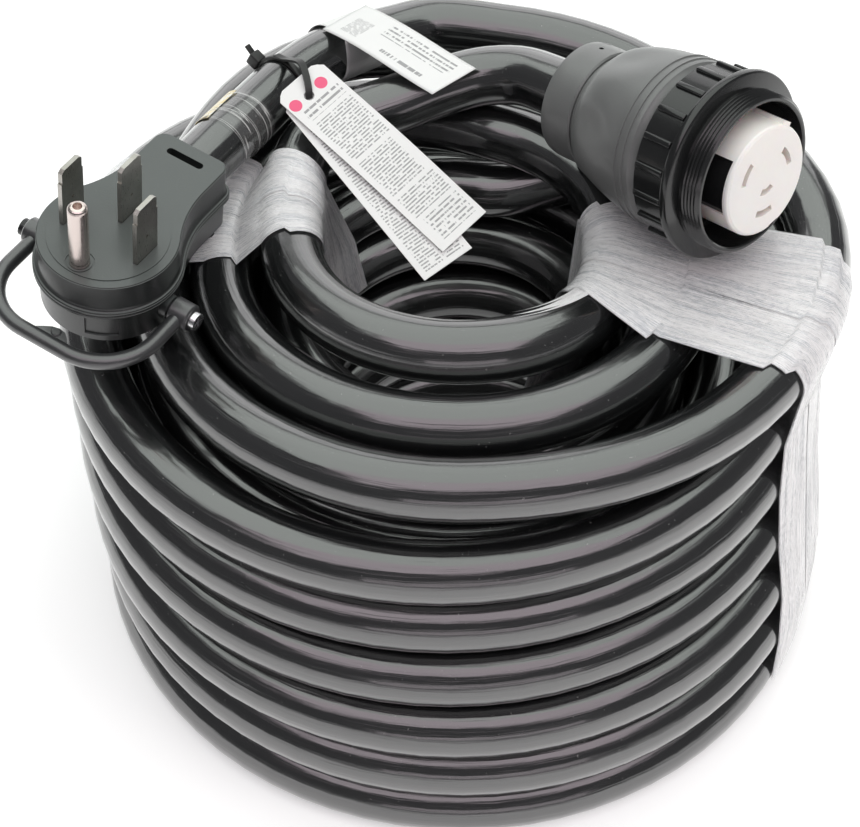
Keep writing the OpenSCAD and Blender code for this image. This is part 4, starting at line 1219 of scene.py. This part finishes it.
front_print = print_card(
    "printed_tag_front", tag_frame,
    [(12, 17, 3, 21, 2.4, True), (19, 40, 2.5, 21, 1.35, True), (42, 60, 2.5, 19, 1.35, True),
     (62, 72, 2.5, 21, 1.35, True), (74, 85, 4, 21, 1.8, True)],
    dots=[(7.6, 16.8, 2.5), (8.0, 3.2, 2.5)],
)  # fmt: skip
rear_print = print_card(
    "printed_tag_rear", rear_frame,
    [(14, 86, 2.5, 10.5, 1.35, True), (14, 86, 11.5, 20, 1.35, True)],
)  # fmt: skip
front_tag = card("tag_front", tag_w, tag_frame, lambda s: 1.2 * math.sin(math.pi * s) ** 2)
rear_tag = card("tag_rear", tag_w - 1, rear_frame, lambda s: 0.2 * math.sin(math.pi * s))
dress(front_tag, front_print)
dress(rear_tag, rear_print)
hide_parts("front_tag")
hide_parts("rear_tag")

# ---- Cord label ----
# A strip of white label stock wound once round the lead and stuck to itself, so that it makes a
# drop-shaped loop; its free flag stands out over the turns behind it.
label_frame = cad_frame(place + [-43.2, 107, 159.95], [14, 13.6, -4.2])
label_len = 22
label_t = 0.2
label_r = cord_r + 0.75
flag_at = place + [-52, 101, 174.15]
flag_frame = moved(*flag_at) @ turned(0, -9, -49)
flag_len = 66
flag_w = 22
flag_columns = 40
flag_rows = 12


def sheet(name, line_points):
    """A thin sheet through lines of points."""
    faces = grid_faces(len(line_points), len(line_points[0]), flipped=True)
    made = add_mesh(name, [p for line in line_points for p in line], faces)
    thicken(made, label_t, -1)
    return made


def flag_point(s, t):
    """The flag at s along it and t across: it springs up off the cord and sags towards its tip."""
    bow = 2.2 * math.sin(math.pi * min(1, s * 1.1)) * (1 - s)
    return np.array(flag_frame @ Vector((flag_len * s, flag_w * t, bow)))


def wrap_point(angle, t):
    """The wrap at an angle round the lead and t along it."""
    a = math.radians(angle)
    spot = Vector((label_r * math.cos(a), label_r * math.sin(a), label_len * (t - 0.5)))
    return np.array(label_frame @ spot)


shares = [k / flag_rows for k in range(flag_rows + 1)]
flag_lines = [[flag_point(i / flag_columns, t) for t in shares] for i in range(flag_columns + 1)]
label_flag = sheet("label_flag", flag_lines)
loop_lines = [[wrap_point(angle, t) for t in shares] for angle in np.linspace(-95, 200, 48)]
# The loop rises from under the flag to the lead's far side, bowing out as it goes.
rise_from = [flag_point(0.22, t) - [0, 0, 0.5] for t in shares]
rise_bow = np.array([0.3, -0.3, -1.6])
rise_count = 9
rise_lines = [
    [a + (b - a) * f + rise_bow * math.sin(math.pi * f) for a, b in zip(rise_from, loop_lines[0])]
    for f in (i / rise_count for i in range(rise_count))
]
label_wrap = sheet("label_wrap", [*rise_lines, *loop_lines])
label_print = print_card(
    "printed_label", flag_frame,
    [(6, 16, 4, 14, 0.9, True), (22, 60, 11.5, 19.5, 2.2, False), (30, 54, 3, 7.5, 4.0, False)],
)  # fmt: skip
dress(label_flag, label_print)
dress(label_wrap, print_card("plain_label", label_frame, []))
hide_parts("cord_label")

# ---- Foil patch and tape ----
# A small patch of gold and silver foil stuck along the side of the lead near the plug, under one
# turn of clear tape.
foil_frame = cad_frame(place + [-83.9, 48.4, 169.25], [8.8, 15, -1.2])
foil_half = 10
foil_r = cord_r + 0.3
foil_a0, foil_a1 = 100, 155
foil_t = 0.15
foil_rows = 8
foil_columns = 16
foil_ring = arc(0, 0, foil_r, foil_a0, foil_a1, foil_columns)
foil_levels = np.linspace(-foil_half, foil_half, foil_rows + 1)
foil_points = [(x, y, z) for z in foil_levels for x, y in foil_ring]
foil_faces = grid_faces(foil_rows + 1, foil_columns + 1)
patch = add_mesh("foil_patch", foil_points, foil_faces, foil_frame)
thicken(patch, foil_t, 1)
foil_gold = (0.8, 0.62, 0.3, 1)
foil_pale = (0.82, 0.7, 0.42, 1)
foil_silver = (0.85, 0.84, 0.8, 1)
foil = Finish("gold_silver_foil", metallic=1.0)
foil_spot = foil.spot()
patchy = foil.noise(foil_spot, 0.35)
foil.set("Base Color", foil.ramp(patchy, (0.0, foil_gold), (0.45, foil_pale), (0.6, foil_silver)))
foil.roughen(0.22, 0.2, 0.8)
foil.bump(foil.noise(foil_spot, 1.2), 0.0001)
dress(patch, foil)
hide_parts("foil_label")
tape_r = foil_r + 0.22
tape_shape = lathe_shape([(tape_r, -foil_half), (tape_r, foil_half)], 72)
tape = add_mesh("clear_tape", *tape_shape, foil_frame)
tape_film = Finish("clear_tape", specular_ior_level=0.6, base_color=(0.93, 0.93, 0.92))
tape_at = tape_film.laid(foil_frame)
ridged = tape_film.noise(tape_at, (0.02, 0.02, 0.45), 2, 0.6)
lap = tape_film.ramp(ridged, (0.0, 0), (0.56, 0), (0.6, 1), (0.64, 0))
tape_film.set("Alpha", 0.05 + lap * 0.45)
tape_film.set("Roughness", 0.14 + tape_film.noise(tape_at, 0.5, 2) * 0.1)
dress(tape, tape_film)

# ---- Floor ----
# A white paper floor, just under the coil. From here on, sizes are in metres.
floor_half = 6
floor_drop = 0.0004
corners = ((-1, -1), (1, -1), (1, 1), (-1, 1))


def stage_piece(name, points, faces, finish):
    """A piece of the set round the object."""
    mesh = bpy.data.meshes.new(name)
    mesh.from_pydata(points, [], faces)
    mesh.materials.append(finish.material)
    made = bpy.data.objects.new(name, mesh)
    scene.collection.objects.link(made)
    return made


def seen_directly(tree):
    """One for camera, glossy and transmission rays, and nought for the rest."""
    camera_ray, glossy_ray, transmission_ray = (
        add_node(tree, "ShaderNodeLightPath", out=ray) for ray in (0, 3, 6)
    )
    return camera_ray + glossy_ray + transmission_ray


paper = Finish("white_paper", base_color=(0.86, 0.86, 0.86), roughness=0.9, emission_strength=1.0)
paper_glow = (0.42, 0.42, 0.42)
paper.set("Emission Color", paper.mix(seen_directly(paper.tree), (0, 0, 0), paper_glow))
floor_points = [(x * floor_half, y * floor_half, -floor_drop) for x, y in corners]
stage_piece("floor", floor_points, [(0, 1, 2, 3)], paper)

# ---- Tent ----
# A tent of dark cloth stands round the set, out of the camera's sight, for the black pieces to
# reflect.
tent_half = 5
tent_levels = (-0.5, 4.5)
tent_points = [(x * tent_half, y * tent_half, z) for z in tent_levels for x, y in corners]
tent_faces = [*grid_faces(2, 4, closed=True), (4, 5, 6, 7)]
cloth = Finish("dark_cloth", base_color=(0.02, 0.02, 0.02), roughness=0.9, emission_strength=1.0,
               emission_color=(0.13, 0.13, 0.135))  # fmt: skip
tent = stage_piece("tent", tent_points, tent_faces, cloth)
tent.visible_camera = False
tent.visible_diffuse = False
tent.visible_shadow = False

# ---- Light ----
# A wide softbox overhead, one over the camera, one behind, a low one in front and one to the
# right, in a dim room that looks white from the camera.
# Each softbox: where it is, where it aims, its size, its power and its colour.
softboxes = {
    "overhead": ((0.0, 0.6, 1.4), (0.0, 0.6, 0), (2.4, 2.0), 22, (0.94, 1.0, 0.95)),
    "front_panel": ((0.1, -0.83, 1.4), (0.1, -0.83, 0), (2.2, 0.85), 8.5, (1.0, 0.87, 0.94)),
    "back_wall": ((0.0, 1.95, 0.75), (0.0, 0.0, 0.5), (2.6, 1.2), 12, (1.0, 1.0, 1.0)),
    "front_fill": ((0.2, -1.7, 0.35), (0.0, 0.0, 0.1), (1.6, 0.3), 1.6, (1.0, 0.9, 0.95)),
    "right_panel": ((1.25, -0.75, 0.75), (0.08, 0.0, 0.2), (0.7, 0.9), 6, (1.0, 0.96, 0.93)),
}
for name, (location, aim, size, power, colour) in softboxes.items():
    lamp = bpy.data.lights.new(name, "AREA")
    lamp.shape, lamp.size, lamp.size_y = "RECTANGLE", *size
    lamp.energy, lamp.color = power, colour
    softbox = bpy.data.objects.new(name, lamp)
    scene.collection.objects.link(softbox)
    softbox.location = location
    softbox.rotation_euler = (Vector(location) - Vector(aim)).to_track_quat("Z", "Y").to_euler()
    softbox.visible_glossy = name != "right_panel"
room_light = (0.14, 0.14, 0.145, 1)
room_white = (1, 1, 1, 1)
world = bpy.data.worlds.new("studio")
world.use_nodes = True
sky = world.node_tree
room = {0: seen_directly(sky), 6: room_light, 7: room_white}
backdrop = add_node(sky, "ShaderNodeMix", {"data_type": "RGBA"}, room, out=2)
feed(sky.nodes["Background"].inputs[0], backdrop)
scene.world = world
scene.view_settings.view_transform = "Standard"
